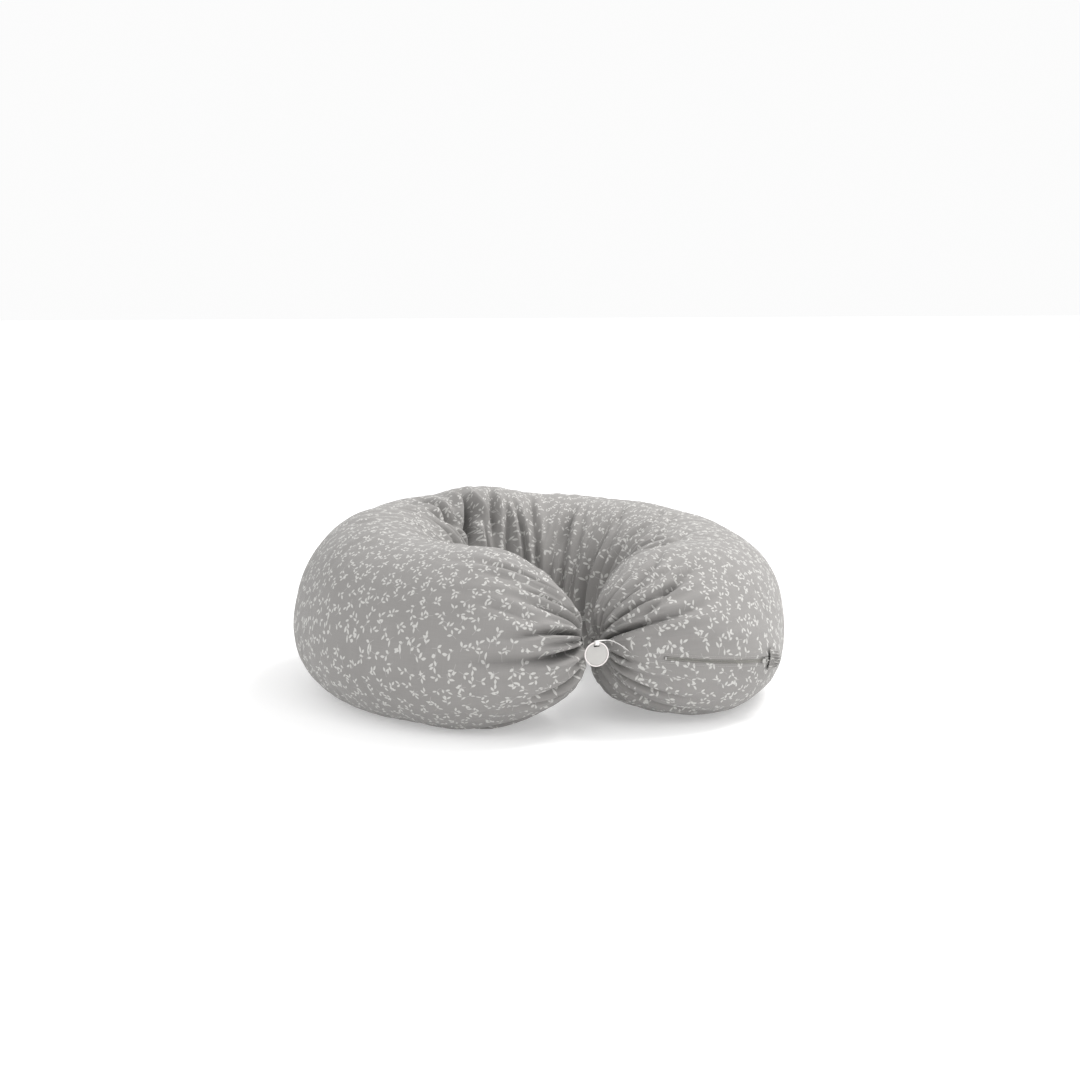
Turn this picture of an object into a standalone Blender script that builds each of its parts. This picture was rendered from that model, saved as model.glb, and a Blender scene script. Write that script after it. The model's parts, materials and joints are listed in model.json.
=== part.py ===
"""A long bead-filled nursing pillow, bent into a ring that lies flat on the floor.

The outer cover is a fabric tube, gathered shut at both ends. Inside it lies a plain casing, tied at both ends,
that holds the loose filling. The ring opens at its back seam line, so every layer is made in a left and a right
half. A zip runs along the outside of the right arm and ends under a puckered fabric hood, and a round hang tag
swings on a white ribbon in the mouth between the two ends.

Units are metres, +Z is up, the ring's opening faces -Y, and the pillow lies on Z = 0.
"""

import math

import bmesh
import bpy
from mathutils import Matrix, Vector

# Ring: the centre line of the tube, seen from above
RING_HALF_WIDTH = 0.2155
RING_HALF_DEPTH = 0.2434
RING_EGG = 0.059          # widens the half nearer the opening
RING_SQUARE = 0.029       # flattens the back and the front
TIP_ANGLE_RIGHT = math.radians(2.3)
TIP_ANGLE_LEFT = math.radians(4.1)

# Tube: its section at the back and at the ends
WIDTH_BACK = 0.2413
WIDTH_FRONT = 0.2380
HEIGHT_BACK = 0.2367
HEIGHT_FRONT = 0.2124
HEIGHT_LEAN = 0.0050      # the left arm is this much fuller than the middle, the right arm this much flatter
SECTION_POWER = 2.32      # superellipse power of the section
SECTION_SAG = 0.18        # how much wider the section is below its middle
FLOOR_SINK = 0.006        # depth of tube that the floor flattens
DOME_LENGTH = 0.1587      # length over which an end rounds off
DOME_POWER = 2.15

# Layers of cloth
COVER_WALL = 0.0012
CASING_WALL = 0.0008
LAYER_GAP = 0.0005        # between two soft layers
TOUCH_GAP = 0.0003        # between two pieces that touch
CASING_SETBACK = 0.0110   # from the cover's end to the casing's end
END_HOLE = 0.0060         # radius of the drawn-up hole in each end of the cover
CASING_HOLE = 0.0050
TUFT_RADIUS = 0.0095      # puckered fabric drawn out at each end
TUFT_THICKNESS = 0.0032
TUFT_NECK_LENGTH = 0.0050
TUFT_LOBES = 12
TUFT_SCALLOP = 0.12       # depth of the scallops, as a share of the radius
THREAD_RADIUS = 0.0006
TIE_RADIUS = 0.0070
TIE_THICKNESS = 0.0024
TIE_SINK = 0.0004         # how far the knot reaches back into the casing's end
TIE_EDGE = 0.6            # radius of the knot's two faces, as a share of its own

# Zip, measured along its arc on the outside of the right arm
ZIP_ZONE_START = 0.0280   # along the centre line, where the flat strip for the zip starts and ends
ZIP_ZONE_END = 0.1720
ZIP_DROP_START = 0.0060   # how far the zip lies below the tube's middle at those two places
ZIP_DROP_END = 0.0330
ZIP_STEPS = 13
ZIP_STRIP = 0.0150        # half the height of the flat strip of cover
SLOT_START_MARGIN = 0.0120
SLOT_END_MARGIN = 0.0220
TAPE_WIDTH = 0.0110
TAPE_THICKNESS = 0.0005
COIL_WIDTH = 0.0015
COIL_THICKNESS = 0.0016
COIL_ROUNDING = 0.3       # rounding of the coil's edges, as a share of its thickness
CHAIN_GAP = 0.0005        # half the gap between the two coils, which the slider's post runs in
TAPE_TAIL = 0.0060        # how far the tapes run past the slot
STOP_LENGTH = 0.0030

# Slider and pull tab
SLIDER_LENGTH = 0.0110
PLATE_THICKNESS = 0.0010
PLATE_CLEARANCE = 0.0004
PLATE_OVERHANG = 0.0010   # how far each plate reaches past the flanges
POST_HALF = 0.0002
FLANGE_THICKNESS = 0.0004
FLANGE_IN = CHAIN_GAP + COIL_WIDTH + TOUCH_GAP
FLANGE_OUT = FLANGE_IN + FLANGE_THICKNESS
SLOT_HALF = FLANGE_OUT + TOUCH_GAP    # half the height of the slot in the cover
CROWN_HALF_LENGTH = 0.0026
CROWN_HEIGHT = 0.0024
CROWN_HALF_WIDTH = 0.0008
CROWN_BAR = 0.0008
CROWN_SINK = 0.0002       # how deep the crown's feet stand in the top plate
PULL_PIN_RADIUS = 0.00045
PULL_LENGTH = 0.0150
PULL_HALF_WIDTH = 0.0027
PULL_WINDOW_HALF = 0.0014
PULL_WINDOW_LENGTH = 0.0046

# Hood over the closed end of the zip
HOOD_LENGTH = 0.0300
HOOD_HALF_WIDTH = 0.0140
HOOD_HEIGHT = 0.0085
HOOD_MOUTH_CLEARANCE = 0.0012
HOOD_WALL = 0.0012
HOOD_MOUTH_RUN = 0.13     # share of the length before the hood starts to close
HOOD_ARCH_LOW = 0.30      # share of the height that is left at the closed end
HOOD_TAPER = 0.45         # share of the width that is lost by the closed end
HOOD_CRIMP = 0.10         # depth of the puckers, as a share of the height
HOOD_CRIMPS = 5
HOOD_SIDE_POWER = 2.4
HOOD_ROOF_POWER = 0.6
HOOD_ROOF_THINNING = 0.2  # how much thicker than its wall the roof is, as a share of the wall

# Hang tag and its ribbon
TAG_RADIUS = 0.0155
TAG_RIM_WIDTH = 0.0016
TAG_RIM_THICKNESS = 0.0018
TAG_FACE_THICKNESS = 0.0010
TAG_SLOT_LENGTH = 0.0080
TAG_SLOT_HEIGHT = 0.0030
TAG_BAR_HEIGHT = 0.0034   # from the top of the slot to the top of the tag
TAG_BAR_OFFSET = TAG_RADIUS - TAG_BAR_HEIGHT / 2    # from the tag's centre up to the bar's centre
TAG_SLOT_OFFSET = TAG_RADIUS - TAG_BAR_HEIGHT - TAG_SLOT_HEIGHT / 2
TAG_FORWARD = 0.0660      # from the centre line's end to the tag, towards the viewer
TAG_SIDE = -0.0120        # from the middle of the gap to the tag's centre
RIBBON_WIDTH = 0.0050
RIBBON_THICKNESS = 0.0005
RIBBON_BEND = math.hypot(TAG_BAR_HEIGHT, TAG_RIM_THICKNESS) / 2 + TOUCH_GAP    # inner radius round the bar
RIBBON_SEAT = 0.0130      # along the centre line, where the ribbon is sewn on
RIBBON_LEAD = Vector((0.0060, 0.0030, 0.0008))     # where it comes in over the bar, from the top of its bend
RIBBON_LIFT = Vector((0.0, -0.0010, 0.0040))       # how far it bows between its seam and the bar
RIBBON_LOOP_START = 70    # degrees round the bar, where the bend starts
RIBBON_LOOP_STEP = 33
RIBBON_TAIL = 0.0010      # how far its cut end stands off

# Fineness of the mesh
COLUMNS = 16
BACK_STEPS = 10
TIP_STEPS = (0.0, 0.0018, 0.0060, 0.0140)
PLAIN_STEPS = (0.0280, 0.0480, 0.0760, 0.1120, 0.1500)
CENTRE_SAMPLES = 1200


def clear_scene():
    for obj in list(bpy.data.objects):
        bpy.data.objects.remove(obj, do_unlink=True)


def make_material(name, colour, roughness, metallic=0.0):
    material = bpy.data.materials.new(name)
    material.use_nodes = True
    shader = material.node_tree.nodes["Principled BSDF"]
    shader.inputs["Base Color"].default_value = (*colour, 1.0)
    shader.inputs["Roughness"].default_value = roughness
    shader.inputs["Metallic"].default_value = metallic
    return material


def add_piece(name, verts, faces, material, pivot=None, smooth=True):
    """Make one named object from world coordinates, with its faces pointing out."""
    mesh = bpy.data.meshes.new(name)
    mesh.from_pydata([tuple(v) for v in verts], [], faces)
    work = bmesh.new()
    work.from_mesh(mesh)
    bmesh.ops.recalc_face_normals(work, faces=work.faces)
    work.to_mesh(mesh)
    work.free()
    mesh.materials.append(material)
    if smooth:
        mesh.shade_smooth()
        mesh.set_sharp_from_angle(angle=math.radians(40))
    obj = bpy.data.objects.new(name, mesh)
    bpy.context.collection.objects.link(obj)
    if pivot is not None:
        obj.parent = pivot
        obj.matrix_parent_inverse = pivot.matrix_world.inverted()
    return obj


def add_pivot(name, matrix, parent=None):
    pivot = bpy.data.objects.new(name, None)
    bpy.context.collection.objects.link(pivot)
    pivot.matrix_world = matrix
    if parent is not None:
        pivot.parent = parent
        pivot.matrix_parent_inverse = parent.matrix_world.inverted()
    bpy.context.view_layer.update()
    return pivot


def signed_power(value, power):
    return math.copysign(abs(value) ** power, value)


# ---- The tube's shape

def ring_point(angle):
    x = RING_HALF_WIDTH * math.sin(angle) * (1 + RING_EGG * math.cos(angle))
    y = -RING_HALF_DEPTH * (math.cos(angle) + RING_SQUARE * math.cos(2 * angle))
    return Vector((x, y))


class Arm:
    """One half of the ring, from its gathered end (length 0) to the back (length self.length)."""

    def __init__(self, side, tip_angle):
        self.side = side
        self.angles = [tip_angle + (math.pi - tip_angle) * i / CENTRE_SAMPLES for i in range(CENTRE_SAMPLES + 1)]
        self.lengths = [0.0]
        for before, after in zip(self.angles, self.angles[1:]):
            step = (ring_point(after) - ring_point(before)).length
            self.lengths.append(self.lengths[-1] + step)
        self.length = self.lengths[-1]

    def angle_at(self, along):
        along = min(max(along, 0.0), self.length)
        low, high = 0, CENTRE_SAMPLES
        while high - low > 1:
            middle = (low + high) // 2
            if self.lengths[middle] <= along:
                low = middle
            else:
                high = middle
        share = (along - self.lengths[low]) / (self.lengths[high] - self.lengths[low])
        return self.angles[low] + share * (self.angles[high] - self.angles[low])

    def frame_at(self, along):
        """The centre line's point, its direction away from the end, and the outward direction."""
        angle = self.angle_at(along)
        small = 1e-4
        ahead = ring_point(angle + small) - ring_point(angle - small)
        ahead.normalize()
        point = ring_point(angle)
        outward = Vector((ahead.y, -ahead.x))
        point.x *= self.side
        ahead.x *= self.side
        outward.x *= self.side
        return point, ahead, outward

    def height_at(self, along):
        angle = self.angle_at(along)
        front = 0.5 + 0.5 * math.cos(angle)
        return HEIGHT_BACK + (HEIGHT_FRONT - HEIGHT_BACK) * front - self.side * HEIGHT_LEAN * math.sin(angle)

    def middle_at(self, along):
        return (self.height_at(along) - FLOOR_SINK) / 2

    def half_sizes(self, along, depth, setback, hole):
        """Half width and half height of a layer that lies this deep, and ends this far back."""
        front = 0.5 + 0.5 * math.cos(self.angle_at(along))
        half_width = (WIDTH_BACK + (WIDTH_FRONT - WIDTH_BACK) * front) / 2 - depth
        half_height = (self.height_at(along) + FLOOR_SINK) / 2 - depth
        reach = min(max((along - setback) / (DOME_LENGTH - setback), 0.0), 1.0)
        swell = (1 - (1 - reach) ** DOME_POWER) ** (1 / DOME_POWER)
        return max(half_width * swell, hole), max(half_height * swell, hole)

    def seam_turn(self, along):
        """How far the columns turn down so that column 0 follows the zip's line."""
        if self.side < 0:
            return 0.0
        drop = zip_drop(along, self.length)
        half_height = self.half_sizes(along, 0.0, 0.0, END_HOLE)[1]
        return -math.asin(min(drop / half_height, 0.6) ** (SECTION_POWER / 2))

    def skin(self, along, turn, depth, setback, hole):
        """A point of the layer at this length and this angle round the section, 0 being outward."""
        half_width, half_height = self.half_sizes(along, depth, setback, hole)
        point, _, outward = self.frame_at(along)
        up = signed_power(math.sin(turn), 2 / SECTION_POWER)
        across = signed_power(math.cos(turn), 2 / SECTION_POWER) * (1 - SECTION_SAG * up)
        plan = point + outward * (half_width * across)
        height = max(self.middle_at(along) + half_height * up, depth)
        return Vector((plan.x, plan.y, height))


def zip_drop(along, length):
    """How far the zip's line lies below the tube's middle: level with the end, then down, then back up."""
    if along < ZIP_ZONE_START:
        return ZIP_DROP_START * along / ZIP_ZONE_START
    if along < ZIP_ZONE_END:
        share = (along - ZIP_ZONE_START) / (ZIP_ZONE_END - ZIP_ZONE_START)
        return ZIP_DROP_START + share * (ZIP_DROP_END - ZIP_DROP_START)
    share = (along - ZIP_ZONE_END) / (length - ZIP_ZONE_END)
    return ZIP_DROP_END * (0.5 + 0.5 * math.cos(math.pi * share))


# ---- The zip's arc

class ZipArc:
    """The circle through three points of the zip's line, which the slider runs on."""

    def __init__(self, arm):
        places = (ZIP_ZONE_START, (ZIP_ZONE_START + ZIP_ZONE_END) / 2, ZIP_ZONE_END)
        first, second, third = [arm.skin(s, arm.seam_turn(s), 0.0, 0.0, END_HOLE) for s in places]
        one = second - first
        two = third - first
        self.axis = one.cross(two).normalized()
        if self.axis.z < 0:
            self.axis.negate()
        normal = one.cross(two)
        to_centre = (one.length_squared * two.cross(normal) + two.length_squared * normal.cross(one))
        self.centre = first + to_centre / (2 * normal.length_squared)
        self.radius = (first - self.centre).length
        self.base = (first - self.centre).normalized()
        self.sweep = self.base.angle(third - self.centre)
        self.length = self.sweep * self.radius
        side = self.axis.cross(self.base)
        self.side = side if side.dot(third - self.centre) > 0 else -side

    def radial(self, along):
        angle = along / self.radius
        return self.base * math.cos(angle) + self.side * math.sin(angle)

    def tangent(self, along):
        angle = along / self.radius
        return self.side * math.cos(angle) - self.base * math.sin(angle)

    def point(self, along, out=0.0, up=0.0):
        return self.centre + self.radial(along) * (self.radius + out) + self.axis * up


def arm_length_facing(arm, target):
    """The length along the centre line whose section plane holds the target point."""
    low, high = 0.0, arm.length
    for _ in range(50):
        middle = (low + high) / 2
        point, ahead, _ = arm.frame_at(middle)
        if (target.xy - point).dot(ahead) > 0:
            low = middle
        else:
            high = middle
    return (low + high) / 2


# ---- Layers of the tube

def stations_for(arm, zone):
    """Lengths at which the layers have a ring of points, and for each the place on the zip's arc or None."""
    stations = [(s, None) for s in TIP_STEPS]
    if zone:
        for along in zone["marks"]:
            stations.append((arm_length_facing(arm, zone["arc"].point(along)), along))
    else:
        stations += [(s, None) for s in PLAIN_STEPS]
    start = stations[-1][0]
    end = arm.length - TOUCH_GAP / 2
    stations += [(start + (end - start) * i / BACK_STEPS, None) for i in range(1, BACK_STEPS + 1)]
    return stations


def layer_rings(arm, zone, depth, setback, hole, well):
    """The rings of points of one surface. The four zip columns lie flat, this deep, along the zip."""
    strip = (-ZIP_STRIP, -SLOT_HALF, SLOT_HALF, ZIP_STRIP) if zone else (0.0,)
    rings = []
    for along, mark in stations_for(arm, zone):
        inner = max(along, setback + along * (1 - setback / ZIP_ZONE_START))
        turn = arm.seam_turn(along)
        ring = []
        for up in strip:
            if mark is not None:
                ring.append(zone["arc"].point(mark, -well, up))
                continue
            half_height = arm.half_sizes(inner, depth, setback, hole)[1]
            squeeze = min(1.0, half_height / (4 * ZIP_STRIP))
            level = signed_power(math.sin(turn), 2 / SECTION_POWER) + up * squeeze / half_height
            ring.append(arm.skin(inner, math.asin(signed_power(level, SECTION_POWER / 2)), depth, setback, hole))
        for column in range(1, COLUMNS):
            angle = 2 * math.pi * column / COLUMNS
            turned = angle + turn * (0.5 + 0.5 * math.cos(angle))
            ring.append(arm.skin(inner, turned, depth, setback, hole))
        rings.append(ring)
    return rings


def grid_faces(rings, start, flip, skip=()):
    """Triangles between neighbouring rings whose points are numbered from start, all cut the same way."""
    columns = len(rings[0])
    faces = []
    for i in range(len(rings) - 1):
        for j in range(columns):
            if (i, j) in skip:
                continue
            k = (j + 1) % columns
            a, b = start + i * columns + j, start + i * columns + k
            c, d = start + (i + 1) * columns + k, start + (i + 1) * columns + j
            for triangle in ([a, b, c], [a, c, d]):
                faces.append(triangle[::-1] if flip else triangle)
    return faces


def add_shell(name, outer, inner, material, pivot, slot=()):
    """A cloth tube with a real wall, open at both ends, with the slot's quads left out and walled."""
    columns = len(outer[0])
    verts = [p for ring in outer for p in ring] + [p for ring in inner for p in ring]
    shift = len(outer) * columns
    faces = grid_faces(outer, 0, False, slot) + grid_faces(inner, shift, True, slot)
    for row in (0, len(outer) - 1):
        for j in range(columns):
            a = row * columns + j
            b = row * columns + (j + 1) % columns
            faces.append([a, b, b + shift, a + shift])
    if slot:
        rows = sorted(i for i, _ in slot)
        low = next(j for _, j in slot)
        for i in rows:
            for j in (low, low + 1):
                a = i * columns + j
                b = (i + 1) * columns + j
                faces.append([a, b, b + shift, a + shift])
        for i in (rows[0], rows[-1] + 1):
            a = i * columns + low
            faces.append([a, a + 1, a + 1 + shift, a + shift])
    return add_piece(name, verts, faces, material, pivot)


def add_solid_tube(name, rings, material, pivot):
    columns = len(rings[0])
    verts = [p for ring in rings for p in ring]
    last = (len(rings) - 1) * columns
    faces = grid_faces(rings, 0, False)
    faces.append(list(range(columns)))
    faces.append(list(range(last, last + columns)))
    return add_piece(name, verts, faces, material, pivot)


# ---- Turned pieces at the gathered ends

def end_matrix(arm, along):
    """A frame at the arm's end: local Z runs out of the end, along the centre line."""
    point, ahead, outward = arm.frame_at(0.0)
    origin = Vector((point.x, point.y, arm.middle_at(0.0))) + Vector((ahead.x, ahead.y, 0)) * along
    z_axis = Vector((-ahead.x, -ahead.y, 0))
    x_axis = Vector((outward.x, outward.y, 0))
    matrix = Matrix((x_axis, z_axis.cross(x_axis), z_axis)).transposed().to_4x4()
    matrix.translation = origin
    return matrix


def add_turned(name, profile, matrix, material, pivot, segments=24, lobes=0, lobe_depth=0.0):
    """Turn a profile of (radius, height) points; the points past the first lobe radius are scalloped."""
    verts = []
    for radius, height in profile:
        for j in range(segments):
            angle = 2 * math.pi * j / segments
            scallop = 1 - lobe_depth * (0.5 - 0.5 * math.cos(lobes * angle)) if lobes else 1.0
            verts.append(matrix @ Vector((radius * scallop * math.cos(angle),
                                          radius * scallop * math.sin(angle), height)))
    faces = [list(range(segments)), list(range((len(profile) - 1) * segments, len(profile) * segments))]
    for i in range(len(profile) - 1):
        for j in range(segments):
            k = (j + 1) % segments
            faces.append([i * segments + j, i * segments + k, (i + 1) * segments + k, (i + 1) * segments + j])
    return add_piece(name, verts, faces, material, pivot)


def add_ring(name, matrix, major, minor, material, pivot, segments=18, sides=6):
    verts = []
    for i in range(segments):
        angle = 2 * math.pi * i / segments
        for j in range(sides):
            turn = 2 * math.pi * j / sides
            radius = major + minor * math.cos(turn)
            verts.append(matrix @ Vector((radius * math.cos(angle), radius * math.sin(angle),
                                          minor * math.sin(turn))))
    faces = []
    for i in range(segments):
        for j in range(sides):
            a = i * sides + j
            b = i * sides + (j + 1) % sides
            c = ((i + 1) % segments) * sides + (j + 1) % sides
            d = ((i + 1) % segments) * sides + j
            faces.append([a, b, c, d])
    return add_piece(name, verts, faces, material, pivot)


def add_end_pieces(arm, word, cloth, thread, tie, pivot):
    neck = END_HOLE - TOUCH_GAP - COVER_WALL / 2
    rim = TOUCH_GAP + TUFT_THICKNESS
    profile = [(neck * 0.8, -TUFT_NECK_LENGTH), (neck, -TUFT_NECK_LENGTH + 0.0008), (neck, TOUCH_GAP),
               (TUFT_RADIUS, TOUCH_GAP), (TUFT_RADIUS, rim * 0.6), (TUFT_RADIUS * 0.7, rim), (neck * 0.5, rim * 0.8)]
    add_turned(f"{word}_gather_tuft", profile, end_matrix(arm, 0.0), cloth, pivot, 2 * TUFT_LOBES,
               TUFT_LOBES, TUFT_SCALLOP)
    inside = COVER_WALL + TOUCH_GAP + THREAD_RADIUS
    add_ring(f"{word}_gather_thread", end_matrix(arm, inside), neck + TOUCH_GAP + THREAD_RADIUS, THREAD_RADIUS,
             thread, pivot)
    knot = [(TIE_RADIUS * TIE_EDGE, -TIE_SINK), (TIE_RADIUS, TIE_THICKNESS * 0.3 - TIE_SINK),
            (TIE_RADIUS, TIE_THICKNESS * 0.7), (TIE_RADIUS * TIE_EDGE, TIE_THICKNESS)]
    add_turned(f"casing_{word}_tie", knot, end_matrix(arm, CASING_SETBACK - TOUCH_GAP - TIE_SINK), tie, pivot)


# ---- Zip pieces

def add_arc_bar(name, arc, starts, profile, material, pivot, smooth=False):
    """Sweep a closed (out, up) profile along the zip's arc through the given lengths."""
    count = len(profile)
    verts = [arc.point(along, out, up) for along in starts for out, up in profile]
    last = (len(starts) - 1) * count
    faces = [list(range(count)), list(range(last, last + count))]
    for i in range(len(starts) - 1):
        for j in range(count):
            k = (j + 1) % count
            faces.append([i * count + j, i * count + k, (i + 1) * count + k, (i + 1) * count + j])
    return add_piece(name, verts, faces, material, pivot, smooth)


def clip_marks(marks, start, end):
    """The shared marks between two lengths, with the two ends added."""
    inside = [m for m in marks if start + 1e-4 < m < end - 1e-4]
    return [start] + inside + [end]


def mirrored(profile, side):
    """The profile for the upper coil or tape, or flipped for the lower."""
    return [(out, up * side) for out, up in profile]


def box_profile(out_low, out_high, up_low, up_high):
    return [(out_low, up_low), (out_high, up_low), (out_high, up_high), (out_low, up_high)]


def add_zip(arc, marks, slot, tape_cloth, coil_plastic, metal, pivot):
    tape_top = -COVER_WALL - TOUCH_GAP
    coil_low = tape_top + TOUCH_GAP
    coil_high = coil_low + COIL_THICKNESS
    edge = CHAIN_GAP + COIL_WIDTH
    tape = box_profile(tape_top - TAPE_THICKNESS, tape_top, CHAIN_GAP, CHAIN_GAP + TAPE_WIDTH)
    round_off = COIL_THICKNESS * COIL_ROUNDING
    coil = [(coil_low, CHAIN_GAP), (coil_low, edge - round_off), (coil_low + round_off, edge),
            (coil_high - round_off, edge), (coil_high, edge - round_off), (coil_high, CHAIN_GAP + round_off),
            (coil_high - round_off, CHAIN_GAP)]
    coil_start = slot[0] + STOP_LENGTH + 2 * TOUCH_GAP
    coil_end = slot[1] - STOP_LENGTH - 2 * TOUCH_GAP
    tape_marks = clip_marks(marks, slot[0] - TAPE_TAIL, slot[1] + TAPE_TAIL)
    coil_marks = clip_marks(marks, coil_start, coil_end)
    stop_end = [coil_end + TOUCH_GAP, coil_end + TOUCH_GAP + STOP_LENGTH]
    for word, side in (("upper", 1), ("lower", -1)):
        add_arc_bar(f"zip_tape_{word}", arc, tape_marks, mirrored(tape, side), tape_cloth, pivot)
        add_arc_bar(f"zip_coil_{word}", arc, coil_marks, mirrored(coil, side), coil_plastic, pivot, True)
        stop = box_profile(coil_low, coil_high, CHAIN_GAP, edge)
        add_arc_bar(f"zip_top_stop_{word}", arc, stop_end, mirrored(stop, side), metal, pivot)
    stop_start = [coil_start - TOUCH_GAP - STOP_LENGTH, coil_start - TOUCH_GAP]
    add_arc_bar("zip_bottom_stop", arc, stop_start, box_profile(coil_low, coil_high, -edge, edge), metal, pivot)


def union(target, tool):
    """Join a tool body into the target with an exact Boolean, and drop the tool."""
    modifier = target.modifiers.new("join", "BOOLEAN")
    modifier.operation = "UNION"
    modifier.solver = "EXACT"
    modifier.object = tool
    graph = bpy.context.evaluated_depsgraph_get()
    mesh = bpy.data.meshes.new_from_object(target.evaluated_get(graph))
    target.modifiers.clear()
    target.data = mesh
    bpy.data.objects.remove(tool, do_unlink=True)


def add_slider(arc, park, metal, pivot):
    """Two plates joined by a thin post between the coils, with side flanges and a crown for the pull."""
    coil_high = -COVER_WALL + COIL_THICKNESS
    tape_low = -COVER_WALL - TOUCH_GAP - TAPE_THICKNESS
    top_low = coil_high + PLATE_CLEARANCE
    top_high = top_low + PLATE_THICKNESS
    bottom_high = tape_low - PLATE_CLEARANCE
    bottom_low = bottom_high - PLATE_THICKNESS
    half = FLANGE_OUT + PLATE_OVERHANG
    right = [(bottom_low, half), (bottom_high, half), (bottom_high, POST_HALF), (top_low, POST_HALF),
             (top_low, FLANGE_IN), (0.0, FLANGE_IN), (0.0, FLANGE_OUT), (top_low, FLANGE_OUT),
             (top_low, half), (top_high, half)]
    profile = right + [(out, -up) for out, up in reversed(right)]
    steps = [park + SLIDER_LENGTH * (i / 4 - 0.5) for i in range(5)]
    slider = add_arc_bar("zip_slider", arc, steps, profile, metal, pivot)
    crown_top = top_high + CROWN_HEIGHT
    foot = top_high - CROWN_SINK
    outline = [(-CROWN_HALF_LENGTH, foot), (-CROWN_HALF_LENGTH, crown_top - CROWN_BAR),
               (-CROWN_HALF_LENGTH + CROWN_BAR, crown_top), (CROWN_HALF_LENGTH - CROWN_BAR, crown_top),
               (CROWN_HALF_LENGTH, crown_top - CROWN_BAR), (CROWN_HALF_LENGTH, foot),
               (CROWN_HALF_LENGTH - CROWN_BAR, foot),
               (CROWN_HALF_LENGTH - CROWN_BAR, crown_top - CROWN_BAR),
               (-CROWN_HALF_LENGTH + CROWN_BAR, crown_top - CROWN_BAR),
               (-CROWN_HALF_LENGTH + CROWN_BAR, foot)]
    crown = add_flat_plate("crown", arc, park, outline, CROWN_HALF_WIDTH, metal)
    union(slider, crown)
    return top_high


def add_flat_plate(name, arc, park, outline, half_width, material, pivot=None):
    """A plate whose outline lies in the plane of the arc at park, as (along, out), this wide each way."""
    origin = arc.point(park)
    forward = arc.tangent(park)
    outward = arc.radial(park)
    verts = []
    for side in (-1, 1):
        for along, out in outline:
            verts.append(origin + forward * along + outward * out + arc.axis * (side * half_width))
    count = len(outline)
    faces = [list(range(count)), list(range(count, 2 * count))]
    for j in range(count):
        k = (j + 1) % count
        faces.append([j, k, k + count, j + count])
    return add_piece(name, verts, faces, material, pivot, False)


def add_pull(arc, park, plate_top, material, pivot):
    """The pull tab: a flat plate with a window that the crown stands in, and a pin under the crown."""
    pin_out = plate_top + (CROWN_HEIGHT - CROWN_BAR) / 2
    origin = arc.point(park, pin_out)
    forward = -arc.tangent(park)
    outward = arc.radial(park)
    start = -PULL_PIN_RADIUS
    window = PULL_PIN_RADIUS
    window_end = window + PULL_WINDOW_LENGTH
    taper = PULL_LENGTH - PULL_HALF_WIDTH
    outer = [(start, -PULL_HALF_WIDTH), (taper, -PULL_HALF_WIDTH)]
    for i in range(1, 8):
        angle = -math.pi / 2 + math.pi * i / 8
        outer.append((taper + PULL_HALF_WIDTH * math.cos(angle), PULL_HALF_WIDTH * math.sin(angle)))
    outer += [(taper, PULL_HALF_WIDTH), (start, PULL_HALF_WIDTH)]
    hole = [(window, -PULL_WINDOW_HALF), (window_end, -PULL_WINDOW_HALF), (window_end, PULL_WINDOW_HALF),
            (window, PULL_WINDOW_HALF)]
    work = bmesh.new()
    for level in (-PULL_PIN_RADIUS, PULL_PIN_RADIUS):
        loops = []
        for points in (outer, hole):
            ring = [work.verts.new(origin + forward * a + arc.axis * u + outward * level) for a, u in points]
            loops += [work.edges.new((ring[i], ring[(i + 1) % len(ring)])) for i in range(len(ring))]
        bmesh.ops.triangle_fill(work, use_beauty=True, use_dissolve=False, edges=loops)
    work.verts.ensure_lookup_table()
    count = len(outer) + len(hole)
    for first, length in ((0, len(outer)), (len(outer), len(hole))):
        for j in range(length):
            a = first + j
            b = first + (j + 1) % length
            work.faces.new([work.verts[a], work.verts[b], work.verts[b + count], work.verts[a + count]])
    verts = [v.co.copy() for v in work.verts]
    faces = [[v.index for v in f.verts] for f in work.faces]
    work.free()
    add_piece("zip_pull", verts, faces, material, pivot, False)
    return origin


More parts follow.
